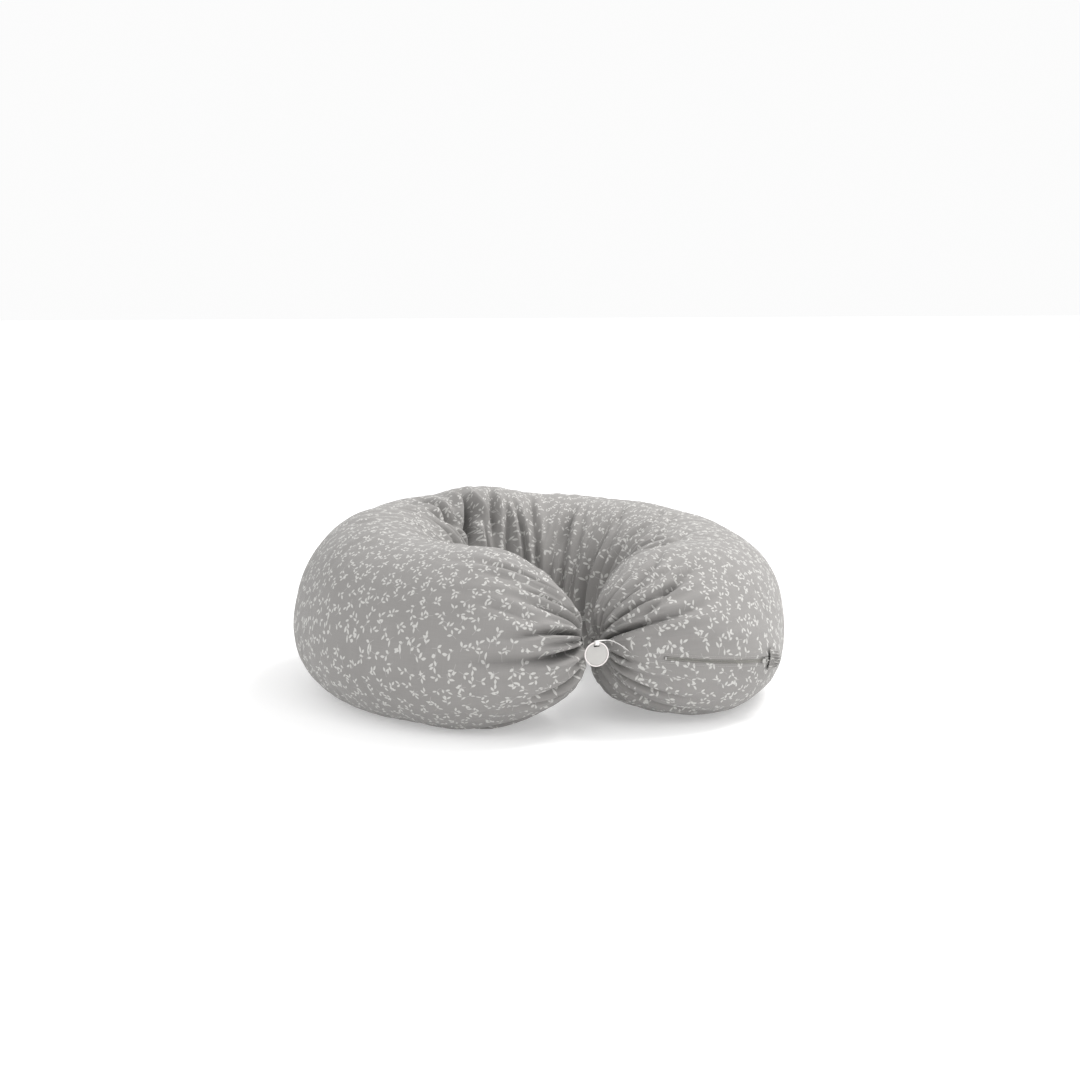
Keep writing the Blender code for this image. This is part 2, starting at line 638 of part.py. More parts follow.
def add_hood(arc, start, cloth, pivot):
    """The puckered hood: a low shell, open towards the slider, resting on the flat strip of cover."""
    rows, columns = 8, 10
    outer, inner = [], []
    for i in range(rows + 1):
        run = i / rows
        closing = max((run - HOOD_MOUTH_RUN) / (1 - HOOD_MOUTH_RUN), 0.0)
        arch = max(math.sqrt(1 - closing ** 2), HOOD_ARCH_LOW)
        width = HOOD_HALF_WIDTH * (1 - HOOD_TAPER * run ** 3)
        for j in range(columns + 1):
            share = 2 * j / columns - 1
            crimp = 1 + HOOD_CRIMP * math.cos(HOOD_CRIMPS * math.pi * share) * run
            bulge = (1 - abs(share) ** HOOD_SIDE_POWER) ** HOOD_ROOF_POWER
            rise = HOOD_HEIGHT * arch * bulge * crimp
            outer.append(arc.point(start + HOOD_LENGTH * run, TOUCH_GAP + HOOD_WALL + rise, width * share))
            reach = 1 - HOOD_WALL / width
            roof = max(rise - HOOD_ROOF_THINNING * HOOD_WALL, 0.0)
            inner.append(arc.point(start + HOOD_LENGTH * run, TOUCH_GAP + roof, width * share * reach))
    wide = columns + 1
    verts = outer + inner
    shift = len(outer)
    faces = []
    for i in range(rows):
        for j in range(columns):
            quad = [i * wide + j, i * wide + j + 1, (i + 1) * wide + j + 1, (i + 1) * wide + j]
            faces.append(quad)
            faces.append([n + shift for n in reversed(quad)])
    border = [j for j in range(columns)] + [i * wide + columns for i in range(rows)]
    border += [rows * wide + j for j in range(columns, 0, -1)] + [i * wide for i in range(rows, 0, -1)]
    for a, b in zip(border, border[1:] + border[:1]):
        faces.append([a, b, b + shift, a + shift])
    return add_piece("zip_garage", verts, faces, cloth, pivot)


# ---- Tag and ribbon

def disc_outline(radius, segments):
    return [(radius * math.cos(2 * math.pi * i / segments), radius * math.sin(2 * math.pi * i / segments))
            for i in range(segments)]


def add_plate_with_hole(name, centre, outer, hole, thickness, material, pivot):
    """A plate in the XZ plane with one hole, both given as (x, z) outlines round its centre."""
    work = bmesh.new()
    for y in (-thickness / 2, thickness / 2):
        loops = []
        for points in (outer, hole):
            ring = [work.verts.new(centre + Vector((x, y, z))) for x, z in points]
            loops += [work.edges.new((ring[i], ring[(i + 1) % len(ring)])) for i in range(len(ring))]
        bmesh.ops.triangle_fill(work, use_beauty=True, use_dissolve=False, edges=loops)
    work.verts.ensure_lookup_table()
    count = len(outer) + len(hole)
    for first, length in ((0, len(outer)), (len(outer), len(hole))):
        for j in range(length):
            a = first + j
            b = first + (j + 1) % length
            work.faces.new([work.verts[a], work.verts[b], work.verts[b + count], work.verts[a + count]])
    verts = [v.co.copy() for v in work.verts]
    faces = [[v.index for v in f.verts] for f in work.faces]
    work.free()
    return add_piece(name, verts, faces, material, pivot)


def add_tag(centre, rim_plastic, clear_plastic, pivot):
    inner = TAG_RADIUS - TAG_RIM_WIDTH
    add_plate_with_hole("tag_rim", centre, disc_outline(TAG_RADIUS, 40), disc_outline(inner, 40),
                        TAG_RIM_THICKNESS, rim_plastic, pivot)
    half = TAG_SLOT_LENGTH / 2 - TAG_SLOT_HEIGHT / 2
    slot = []
    for side in (1, -1):
        for i in range(7):
            angle = math.pi * i / 6 - side * math.pi / 2
            slot.append((side * half + TAG_SLOT_HEIGHT / 2 * math.cos(angle),
                         TAG_SLOT_OFFSET + TAG_SLOT_HEIGHT / 2 * math.sin(angle)))
    add_plate_with_hole("tag_face", centre, disc_outline(inner - TOUCH_GAP, 40), slot,
                        TAG_FACE_THICKNESS, clear_plastic, pivot)


def add_ribbon(seat, seat_up, bar, material, pivot):
    """The ribbon: sewn on at its seat, over the tag's bar, down its front and back through the slot."""
    bend = RIBBON_BEND + RIBBON_THICKNESS / 2
    sideways = Vector((1, 0, 0))
    path = [(seat, seat_up)]
    lead = bar + RIBBON_LEAD + Vector((0, 0, bend))
    for i in range(1, 5):
        share = i / 5
        lift = RIBBON_LIFT * math.sin(math.pi * share)
        path.append((seat.lerp(lead, share) + lift, seat_up.lerp(sideways, share * share).normalized()))
    for i in range(7):
        angle = math.radians(RIBBON_LOOP_START + RIBBON_LOOP_STEP * i)
        path.append((bar + Vector((0, bend * math.cos(angle), bend * math.sin(angle))), sideways))
    path.append((bar + Vector((0, bend + RIBBON_TAIL, -bend * 0.75)), sideways))
    points = [p for p, _ in path]
    verts = []
    for i, (point, across) in enumerate(path):
        ahead = points[min(i + 1, len(points) - 1)] - points[max(i - 1, 0)]
        across = (across - ahead * across.dot(ahead) / ahead.length_squared).normalized()
        normal = ahead.cross(across).normalized()
        for u, v in ((-1, -1), (1, -1), (1, 1), (-1, 1)):
            verts.append(point + across * (u * RIBBON_WIDTH / 2) + normal * (v * RIBBON_THICKNESS / 2))
    last = (len(path) - 1) * 4
    faces = [[0, 1, 2, 3], [last, last + 1, last + 2, last + 3]]
    for i in range(len(path) - 1):
        for j in range(4):
            k = (j + 1) % 4
            faces.append([i * 4 + j, i * 4 + k, (i + 1) * 4 + k, (i + 1) * 4 + j])
    return add_piece("tag_ribbon", verts, faces, material, pivot, False)


# ---- The whole pillow

def centre_footprint():
    """Move everything so that the middle of the cover's outline, seen from above, is the origin."""
    points = []
    for name in ("cover_left", "cover_right"):
        obj = bpy.data.objects[name]
        points += [obj.matrix_world @ v.co for v in obj.data.vertices]
    shift_x = -(min(p.x for p in points) + max(p.x for p in points)) / 2
    shift_y = -(min(p.y for p in points) + max(p.y for p in points)) / 2
    for obj in bpy.data.objects:
        if obj.parent is None:
            obj.location.x += shift_x
            obj.location.y += shift_y
    bpy.context.view_layer.update()
    print("moved by", round(shift_x, 5), round(shift_y, 5))


def build():
    clear_scene()
    print_cloth = make_material("printed_cotton", (0.36, 0.35, 0.33), 0.85)
    casing_cloth = make_material("casing_cotton", (0.86, 0.85, 0.82), 0.90)
    beads = make_material("bead_filling", (0.93, 0.93, 0.92), 0.60)
    tape_cloth = make_material("zip_tape_cloth", (0.33, 0.32, 0.31), 0.85)
    coil_plastic = make_material("zip_coil_plastic", (0.30, 0.29, 0.28), 0.45)
    metal = make_material("zip_metal", (0.55, 0.55, 0.54), 0.30, 1.0)
    thread = make_material("gather_thread", (0.50, 0.49, 0.47), 0.80)
    ribbon_cloth = make_material("white_ribbon", (0.88, 0.87, 0.86), 0.55)
    rim_plastic = make_material("tag_rim_plastic", (0.85, 0.82, 0.80), 0.35)
    clear_plastic = make_material("tag_clear_plastic", (0.62, 0.62, 0.61), 0.20)

    right = Arm(1, TIP_ANGLE_RIGHT)
    left = Arm(-1, TIP_ANGLE_LEFT)
    arc = ZipArc(right)
    marks = [arc.length * i / (ZIP_STEPS - 1) for i in range(ZIP_STEPS)]
    slot_wanted = (SLOT_START_MARGIN, arc.length - SLOT_END_MARGIN)
    rows = [i for i in range(ZIP_STEPS - 1) if marks[i] >= slot_wanted[0] and marks[i + 1] <= slot_wanted[1]]
    slot = (marks[rows[0]], marks[rows[-1] + 1])
    zone = {"arc": arc, "marks": marks}

    back = [right.skin(right.length, math.radians(turn), 0.0, 0.0, END_HOLE).y for turn in range(-60, 61, 2)]
    arm_pivot = add_pivot("right_arm_pivot", Matrix.Translation((0.0, max(back) + TOUCH_GAP, 0.0)))
    turned = Matrix((arc.base, arc.axis.cross(arc.base), arc.axis)).transposed().to_4x4()
    turned.translation = arc.centre
    slider_pivot = add_pivot("slider_pivot", turned, arm_pivot)

    # Depth of each surface below the cover's outside, and its depth along the zip
    cover_in = COVER_WALL
    casing_out = COVER_WALL + LAYER_GAP
    casing_in = casing_out + CASING_WALL
    fill_out = casing_in + LAYER_GAP
    slider_low = COVER_WALL + TOUCH_GAP + TAPE_THICKNESS + PLATE_CLEARANCE + PLATE_THICKNESS
    well = slider_low + 2 * LAYER_GAP
    for arm, word, where, pivot in ((left, "left", None, None), (right, "right", zone, arm_pivot)):
        outer = layer_rings(arm, where, 0.0, 0.0, END_HOLE, 0.0)
        inner = layer_rings(arm, where, cover_in, cover_in, END_HOLE, cover_in)
        skip = set()
        if where:
            first = len(TIP_STEPS)
            skip = {(first + i, 1) for i in rows}
        add_shell(f"cover_{word}", outer, inner, print_cloth, pivot, skip)
        outer = layer_rings(arm, where, casing_out, CASING_SETBACK, CASING_HOLE, well)
        inner = layer_rings(arm, where, casing_in, CASING_SETBACK + CASING_WALL, CASING_HOLE, well + CASING_WALL)
        add_shell(f"casing_{word}", outer, inner, casing_cloth, pivot)
        body = layer_rings(arm, where, fill_out, CASING_SETBACK + CASING_WALL + LAYER_GAP, CASING_HOLE,
                           well + CASING_WALL + LAYER_GAP)
        add_solid_tube(f"filling_{word}", body, beads, pivot)
        add_end_pieces(arm, word, print_cloth, thread, casing_cloth, pivot)

    add_zip(arc, marks, slot, tape_cloth, coil_plastic, metal, arm_pivot)
    park = slot[1] - STOP_LENGTH - 4 * TOUCH_GAP - SLIDER_LENGTH / 2
    plate_top = add_slider(arc, park, metal, slider_pivot)
    pin = arc.point(park, plate_top + (CROWN_HEIGHT - CROWN_BAR) / 2)
    pin_frame = Matrix((arc.tangent(park), arc.axis.cross(arc.tangent(park)), arc.axis)).transposed().to_4x4()
    pin_frame.translation = pin
    pull_pivot = add_pivot("pull_pivot", pin_frame, slider_pivot)
    add_pull(arc, park, plate_top, metal, pull_pivot)
    add_hood(arc, park + SLIDER_LENGTH / 2 + HOOD_MOUTH_CLEARANCE, print_cloth, arm_pivot)

    gap_middle = (right.frame_at(0.0)[0] + left.frame_at(0.0)[0]) / 2
    centre = Vector((gap_middle.x + TAG_SIDE, gap_middle.y - TAG_FORWARD, right.middle_at(0.0)))
    bar = centre + Vector((0, 0, TAG_BAR_OFFSET))
    tag_pivot = add_pivot("tag_pivot", Matrix.Translation(bar), arm_pivot)
    add_tag(centre, rim_plastic, clear_plastic, tag_pivot)
    seat = right.skin(RIBBON_SEAT, 0.0, 0.0, 0.0, END_HOLE)
    outward = Vector((*right.frame_at(RIBBON_SEAT)[2], 0.0))
    seat += outward * (TOUCH_GAP + RIBBON_WIDTH / 2)
    add_ribbon(seat, outward, bar, ribbon_cloth, arm_pivot)

    centre_footprint()
    travel = math.degrees((park - slot[0] - STOP_LENGTH - SLIDER_LENGTH) / arc.radius)
    for joint, pivot in (("arms_open", arm_pivot), ("zip_slide", slider_pivot), ("pull_flap", pull_pivot),
                         ("tag_swing", tag_pivot)):
        print(joint, [round(v, 5) for v in pivot.matrix_world.translation])
    print("zip axis", [round(v, 5) for v in arc.axis], "travel in degrees", round(travel, 2))


build()
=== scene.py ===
# %% [markdown]
# # A ring-shaped nursing pillow
#
# A nursing pillow is a long cotton tube, about 1.4 m along its middle, gathered shut at both ends and bent into
# a ring. Inside it lies a plain casing full of light beads. The cover comes off for washing through a zip that
# runs along the outside of one arm and ends under a small puckered hood.
#
# The working model already holds every piece at its true size and the joints between them. This lesson keeps that
# model as a fixed frame and makes the looks around it: cloth with real puckers and folds, printed cotton, a zip
# with coiled teeth, a satin ribbon and a clear hang tag.

# %% Load the frame
import json
import math

import bmesh
import bpy
import numpy as np
from mathutils import Matrix, Vector

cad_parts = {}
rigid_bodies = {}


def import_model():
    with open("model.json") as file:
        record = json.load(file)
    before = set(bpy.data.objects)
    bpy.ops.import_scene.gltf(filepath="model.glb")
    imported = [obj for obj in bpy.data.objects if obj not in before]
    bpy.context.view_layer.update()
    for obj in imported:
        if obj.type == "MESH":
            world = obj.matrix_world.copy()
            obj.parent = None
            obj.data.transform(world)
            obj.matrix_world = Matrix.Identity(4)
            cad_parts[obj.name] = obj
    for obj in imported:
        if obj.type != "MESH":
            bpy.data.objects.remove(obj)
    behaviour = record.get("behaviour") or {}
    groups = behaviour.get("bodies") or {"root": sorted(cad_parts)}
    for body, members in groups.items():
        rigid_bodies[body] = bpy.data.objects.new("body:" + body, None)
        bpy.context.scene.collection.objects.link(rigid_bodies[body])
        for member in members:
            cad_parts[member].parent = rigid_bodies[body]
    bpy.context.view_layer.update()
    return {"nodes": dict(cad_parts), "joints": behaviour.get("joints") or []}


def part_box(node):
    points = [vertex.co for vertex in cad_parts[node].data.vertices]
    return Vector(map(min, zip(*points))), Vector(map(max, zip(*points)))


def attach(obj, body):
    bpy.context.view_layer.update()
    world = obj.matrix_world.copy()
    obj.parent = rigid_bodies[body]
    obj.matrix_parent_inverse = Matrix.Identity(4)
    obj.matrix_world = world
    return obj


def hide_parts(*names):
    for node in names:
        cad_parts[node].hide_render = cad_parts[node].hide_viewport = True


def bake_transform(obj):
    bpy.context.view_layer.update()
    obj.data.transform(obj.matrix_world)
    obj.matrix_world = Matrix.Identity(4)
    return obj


for leftover in list(bpy.data.objects):
    bpy.data.objects.remove(leftover, do_unlink=True)
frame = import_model()

# %% [markdown]
# ## The sizes that the cloth follows
#
# The cloth is made from the same few sizes as the frame, so that it lands on it without fitting: a ring seen from
# above, a rounded section that is wider low down, and ends that close like the end of a sausage. All lengths are
# in metres, and places are measured along the tube's middle line, from the right gathered end to the left one.

# %% Sizes
RING_HALF_WIDTH, RING_HALF_DEPTH = 0.2155, 0.2434
RING_EGG, RING_SQUARE = 0.059, 0.029
TIP_ANGLE_RIGHT, TIP_ANGLE_LEFT = math.radians(2.3), math.radians(4.1)
WIDTH_BACK, WIDTH_FRONT = 0.2413, 0.2380
HEIGHT_BACK, HEIGHT_FRONT, HEIGHT_LEAN = 0.2367, 0.2124, 0.0050
SECTION_POWER, SECTION_SAG = 2.32, 0.18
FLOOR_SINK = 0.006
DOME_LENGTH, DOME_POWER = 0.1587, 2.15
COVER_WALL, CASING_WALL = 0.0012, 0.0008
TOUCH_GAP = 0.0003
END_HOLE = 0.0060
ZIP_ZONE_START, ZIP_ZONE_END = 0.0280, 0.1720
ZIP_DROP_START, ZIP_DROP_END = 0.0060, 0.0330
ZIP_MARKS, SLOT_START_MARGIN, SLOT_END_MARGIN = 12, 0.0120, 0.0220
SLOT_HALF, LIP_HALF, LIP_DIP = 0.0030, 0.00215, 0.0006
COIL_WIDTH, COIL_THICKNESS, CHAIN_GAP = 0.0015, 0.0016, 0.0005
STOP_LENGTH, SLIDER_LENGTH = 0.0030, 0.0110
HOOD_LENGTH, HOOD_HALF_WIDTH, HOOD_HEIGHT = 0.0300, 0.0140, 0.0085
HOOD_MOUTH_CLEARANCE = 0.0012
print("ring", round(2 * RING_HALF_WIDTH, 3), "by", round(2 * RING_HALF_DEPTH, 3), "m, tube", WIDTH_BACK, "m wide")

# %% [markdown]
# ## The ring's middle line
#
# The line is a slightly squared egg. It is sampled once, so that any place along it can be looked up. The frame's
# hinge stands on the tube's outermost edge at the back, and it tells where the whole ring lies.

# %% The middle line
SMALL_TURN = 1e-4


def ring_xy(angle):
    x = RING_HALF_WIDTH * np.sin(angle) * (1 + RING_EGG * np.cos(angle))
    y = -RING_HALF_DEPTH * (np.cos(angle) + RING_SQUARE * np.cos(2 * angle))
    return np.stack([x, y], axis=-1)


LINE_ANGLES = np.linspace(TIP_ANGLE_RIGHT, 2 * math.pi - TIP_ANGLE_LEFT, 6001)
LINE_STEPS = np.linalg.norm(np.diff(ring_xy(LINE_ANGLES), axis=0), axis=1)
LINE_LENGTHS = np.concatenate([[0.0], np.cumsum(LINE_STEPS)])
TOTAL = float(LINE_LENGTHS[-1])
RIGHT_LENGTH = float(np.interp(math.pi, LINE_ANGLES, LINE_LENGTHS))
SHIFT = np.zeros(2)


def ring_angle(along):
    return np.interp(along, LINE_LENGTHS, LINE_ANGLES)


def ring_frame(along):
    """The middle line's point, its direction from the right end to the left end, and the outward direction."""
    angle = ring_angle(along)
    ahead = ring_xy(angle + SMALL_TURN) - ring_xy(angle - SMALL_TURN)
    ahead = ahead / np.linalg.norm(ahead, axis=-1, keepdims=True)
    outward = np.stack([ahead[..., 1], -ahead[..., 0]], axis=-1)
    return ring_xy(angle) + SHIFT, ahead, outward


print("middle line", round(TOTAL, 4), "m, of which the right arm is", round(RIGHT_LENGTH, 4), "m")

# %% [markdown]
# ## The section
#
# Cut across, the tube is a superellipse: rounder than a box and fuller than a circle, as a bag of beads is. It is
# a little wider below its middle, where the beads settle, and flat where it rests on the floor. `skin` turns a
# place along the tube and an angle round it, 0 being outward and a quarter turn up, into a point.

# %% The tube's skin


def signed_power(value, power):
    return np.sign(value) * np.abs(value) ** power


def tube_height(along):
    angle = ring_angle(along)
    front = 0.5 + 0.5 * np.cos(angle)
    return HEIGHT_BACK + (HEIGHT_FRONT - HEIGHT_BACK) * front - HEIGHT_LEAN * np.sin(angle)


def from_end(along):
    """How far a place lies from the nearer gathered end."""
    return np.minimum(along, TOTAL - along)


def swell_at(along, setback=0.0):
    """The share of its full size that the tube has here: nothing at a gathered end, all of it past the dome."""
    reach = np.clip((from_end(along) - setback) / (DOME_LENGTH - setback), 0.0, 1.0)
    return (1 - (1 - reach) ** DOME_POWER) ** (1 / DOME_POWER)


def half_sizes(along, depth=0.0, setback=0.0, hole=END_HOLE):
    front = 0.5 + 0.5 * np.cos(ring_angle(along))
    half_width = (WIDTH_BACK + (WIDTH_FRONT - WIDTH_BACK) * front) / 2 - depth
    half_height = (tube_height(along) + FLOOR_SINK) / 2 - depth
    swell = swell_at(along, setback)
    return np.maximum(half_width * swell, hole), np.maximum(half_height * swell, hole)


def skin(along, turn, depth=0.0, setback=0.0, hole=END_HOLE):
    half_width, half_height = half_sizes(along, depth, setback, hole)
    point, _, outward = ring_frame(along)
    up = signed_power(np.sin(turn), 2 / SECTION_POWER)
    across = signed_power(np.cos(turn), 2 / SECTION_POWER) * (1 - SECTION_SAG * up)
    plan = point + outward * (half_width * across)[..., None]
    middle = (tube_height(along) - FLOOR_SINK) / 2
    height = np.maximum(middle + half_height * up, depth)
    return np.concatenate([plan, height[..., None]], axis=-1)


HINGE = next(j for j in frame["joints"] if j["name"] == "arms_open")["pos_m"]
back_turns = np.radians(np.arange(-60, 61, 2))
back_edge = skin(np.full(len(back_turns), RIGHT_LENGTH), back_turns)[:, 1].max() + TOUCH_GAP
SHIFT = np.array([HINGE[0], HINGE[1] - back_edge])
print("the ring's middle line is moved by", SHIFT.round(5), "to stand on the hinge")

# %% [markdown]
# ## The camera and the room
#
# The pillow is seen from a little left of straight ahead and a little above, from more than two metres away, which
# keeps its two arms nearly the same size. The lens is a little longer than normal, and a small upward shift sets
# the pillow low in the frame without tilting the camera.

# %% Camera
CAMERA_TARGET = Vector((SHIFT[0], SHIFT[1], 0.11))
CAMERA_AZIMUTH, CAMERA_ELEVATION, CAMERA_DISTANCE = math.radians(-15.86), math.radians(10.70), 2.298
SENSOR_WIDTH, LENS, SHIFT_RIGHT, SHIFT_UP = 36.0, 54.82, 0.002, 0.057


def add_camera():
    data = bpy.data.cameras.new("camera")
    camera = bpy.data.objects.new("camera", data)
    bpy.context.scene.collection.objects.link(camera)
    back = Vector((math.sin(CAMERA_AZIMUTH) * math.cos(CAMERA_ELEVATION),
                   -math.cos(CAMERA_AZIMUTH) * math.cos(CAMERA_ELEVATION), math.sin(CAMERA_ELEVATION)))
    camera.location = CAMERA_TARGET + back * CAMERA_DISTANCE
    camera.rotation_euler = (-back).to_track_quat("-Z", "Y").to_euler()
    data.sensor_width = SENSOR_WIDTH
    data.lens = LENS
    data.shift_x = SHIFT_RIGHT
    data.shift_y = SHIFT_UP
    bpy.context.scene.camera = camera
    return camera


camera = add_camera()
print("camera at", [round(v, 3) for v in camera.location])

# %% [markdown]
# ## Lamps and sky
#
# Soft goods need soft light: a small lamp would draw hard edges beside every fold. The sky is pale and gives most of
# the light. Three large lamps only shape it: a key from the right and above, a weaker one from the left, and a low
# one in front.

# %% Lamps and sky


def add_lamp(name, place, size, power, tint=(1.0, 1.0, 1.0)):
    """A square area lamp that looks at the pillow's middle."""
    data = bpy.data.lights.new(name, "AREA")
    data.shape = "SQUARE"
    data.size = size
    data.energy = power
    data.color = tint
    lamp = bpy.data.objects.new(name, data)
    lamp.location = place
    lamp.rotation_euler = (CAMERA_TARGET - lamp.location).to_track_quat("-Z", "Y").to_euler()
    bpy.context.scene.collection.objects.link(lamp)
    return lamp


def add_sky(colour, strength):
    world = bpy.data.worlds.new("sky")
    world.use_nodes = True
    background = world.node_tree.nodes["Background"]
    background.inputs["Color"].default_value = (*colour, 1.0)
    background.inputs["Strength"].default_value = strength
    bpy.context.scene.world = world


add_lamp("key_lamp", Vector((1.5, 0.3, 2.4)), 1.2, 56.0, (1.0, 0.99, 0.98))
add_lamp("side_lamp", Vector((-2.0, -1.2, 2.0)), 1.4, 6.0, (0.97, 0.98, 1.0))
add_lamp("front_lamp", Vector((0.9, -2.4, 1.8)), 1.2, 11.0)
add_sky((1.0, 1.0, 1.0), 0.97)
bpy.context.scene.view_settings.view_transform = "Standard"

# %% [markdown]
# ## Shader maths as expressions
#
# A material's pattern is arithmetic, and arithmetic reads best as expressions. `Value` wraps one socket, and adding
# or multiplying two of them adds a Math node. The reflected forms let a plain number stand first, as in `1 - mask`.

# %% Expression helper


class Value:
    """One output socket. Arithmetic on it adds Math nodes."""

    def __init__(self, shade, socket):
        self.shade = shade
        self.socket = socket

    def math(self, operation, *others):
        inputs = {i: v for i, v in enumerate((self, *others))}
        return self.shade.node("ShaderNodeMath", {"operation": operation}, inputs)

    def __add__(self, other):
        return self.math("ADD", other)

    def __radd__(self, other):
        return self.math("ADD", other)

    def __sub__(self, other):
        return self.math("SUBTRACT", other)

    def __rsub__(self, other):
        return self.shade.node("ShaderNodeMath", {"operation": "SUBTRACT"}, {0: other, 1: self})

    def __mul__(self, other):
        return self.math("MULTIPLY", other)

    def __rmul__(self, other):
        return self.math("MULTIPLY", other)

    def __truediv__(self, other):
        return self.math("DIVIDE", other)

    def __abs__(self):
        return self.math("ABSOLUTE")

    def clamp(self):
        return self.shade.node("ShaderNodeClamp", {}, {"Value": self})

    def out(self, name):
        """Another output of the same node."""
        return Value(self.shade, self.socket.node.outputs[name])


print("sockets add, subtract, multiply and divide")

# %% [markdown]
# ## One material
#
# `Shade` makes the nodes of one material. `node` adds any node, with its settings first and then its inputs, and the
# short methods below it are the few that every cloth here needs. `rgb` turns everyday colour levels into the linear
# values that a shader works in.

# %% Material helper


class Shade:
    """The node tree of one material, around its Principled shader."""

    def __init__(self, name):
        self.material = bpy.data.materials.new(name)
        self.material.use_nodes = True
        self.tree = self.material.node_tree
        self.shader = self.tree.nodes["Principled BSDF"]

    def node(self, kind, settings=None, inputs=None, output=0):
        """Add a node: its settings are set first, then the values or links of its sockets."""
        made = self.tree.nodes.new(kind)
        for key, value in (settings or {}).items():
            if key == "stops":
                self.set_stops(made.color_ramp, value)
            else:
                setattr(made, key, value)
        for key, value in (inputs or {}).items():
            self.feed(made.inputs[key], value)
        return Value(self, made.outputs[output])

    def feed(self, socket, value):
        if isinstance(value, Value):
            self.tree.links.new(value.socket, socket)
        else:
            socket.default_value = value

    def set_stops(self, ramp, stops):
        while len(ramp.elements) < len(stops):
            ramp.elements.new(1.0)
        for element, (place, level) in zip(ramp.elements, stops):
            element.position = place
            element.color = (level, level, level, 1.0)

    def set(self, **uniform):
        """Set sockets that are the same all over the surface, or link the few that may vary."""
        for key, value in uniform.items():
            self.feed(self.shader.inputs[key.replace("_", " ")], value)
        return self

    def mix(self, factor, first, second, blend="MIX"):
        """A mix of two colours."""
        made = self.tree.nodes.new("ShaderNodeMix")
        made.data_type = "RGBA"
        made.blend_type = blend
        for index, value in ((0, factor), (6, first), (7, second)):
            self.feed(made.inputs[index], value)
        return Value(self, made.outputs[2])

    def split(self, vector):
        parts = self.node("ShaderNodeSeparateXYZ", {}, {0: vector})
        return parts, parts.out("Y")

    def join(self, x, y):
        return self.node("ShaderNodeCombineXYZ", {}, {0: x, 1: y})

    def uv(self, name):
        return self.node("ShaderNodeUVMap", {"uv_map": name})

    def place(self):
        return self.node("ShaderNodeTexCoord", output="Object")

    def noise(self, vector, scale, detail=2.0, roughness=0.5):
        return self.node("ShaderNodeTexNoise", {}, {"Vector": vector, "Scale": scale, "Detail": detail,
                                                    "Roughness": roughness})

    def wave(self, phase):
        return phase.math("SINE")

    def bump(self, height, strength, distance, normal=None):
        inputs = {"Height": height, "Strength": strength, "Distance": distance}
        if normal is not None:
            inputs["Normal"] = normal
        return self.node("ShaderNodeBump", {}, inputs)


def rgb(red, green, blue):
    """A colour from the everyday 0 to 255 scale, as the linear values that a shader works in."""
    levels = [v / 255 for v in (red, green, blue)]
    return tuple(v / 12.92 if v < 0.04045 else ((v + 0.055) / 1.055) ** 2.4 for v in levels) + (1.0,)


print("mid grey is", round(rgb(128, 128, 128)[0], 3), "in linear light")

# %% [markdown]
# ## The printed cotton
#
# The cover is a fine plain-woven cotton, mid grey, printed with small pale leaf sprigs that turn every way. A print
# like this repeats over the cloth but never in rows. Two layers of scattered cells give each sprig a middle point;
# around that point the cloth is turned by a chance angle, and the leaves are drawn with a few products and sums.
# One layer holds sprigs of three leaves, the other pairs. The cloth's own measure, in metres, is in its UV map, so
# that the leaves keep their size and follow the folds.

# %% Leaf sprigs
SPRIG_CELL = 0.0218
LEAF_SOFTNESS = 0.00035
THREE_LEAVES = ((0.0056, 0.0, 0.0, 0.0034, 0.00150), (0.0010, 0.0027, 52.0, 0.0032, 0.00145),
                (-0.0033, -0.0026, -50.0, 0.0030, 0.00140))
TWO_LEAVES = ((0.0027, 0.0026, 40.0, 0.0034, 0.00150), (0.0029, -0.0026, -40.0, 0.0031, 0.00140))
STEM_HALF_WIDTH, STEM_STRENGTH = 0.00028, 0.45
STEM_CURVE = 90           # how strongly a sprig's line may bend to either side
# Each layer: the turn and shift of its cells, its leaves, and where its stem starts and ends.
THREE_LEAF_LAYER = (0.35, 0.013, THREE_LEAVES, -0.0078, 0.0030)
TWO_LEAF_LAYER = (-0.62, 0.431, TWO_LEAVES, -0.0070, 0.0015)


def leaf(x, y, spec):
    """A pointed oval: 1 inside, 0 outside, with a narrow soft edge."""
    centre_x, centre_y, turn, half_length, half_width = spec
    c, s = math.cos(math.radians(turn)), math.sin(math.radians(turn))
    x, y = x - centre_x, y - centre_y
    along = (x * c + y * s) / half_length
    across = y * c - x * s
    return (((1 - along * along) * half_width - abs(across)) / LEAF_SOFTNESS + 0.5).clamp()


def stem(x, y, start, end):
    """A thin line along the sprig's own curve."""
    middle, half = (start + end) / 2, (end - start) / 2
    inside = ((half - abs(x - middle)) / LEAF_SOFTNESS).clamp()
    return ((STEM_HALF_WIDTH - abs(y)) / LEAF_SOFTNESS + 0.5).clamp() * inside * STEM_STRENGTH


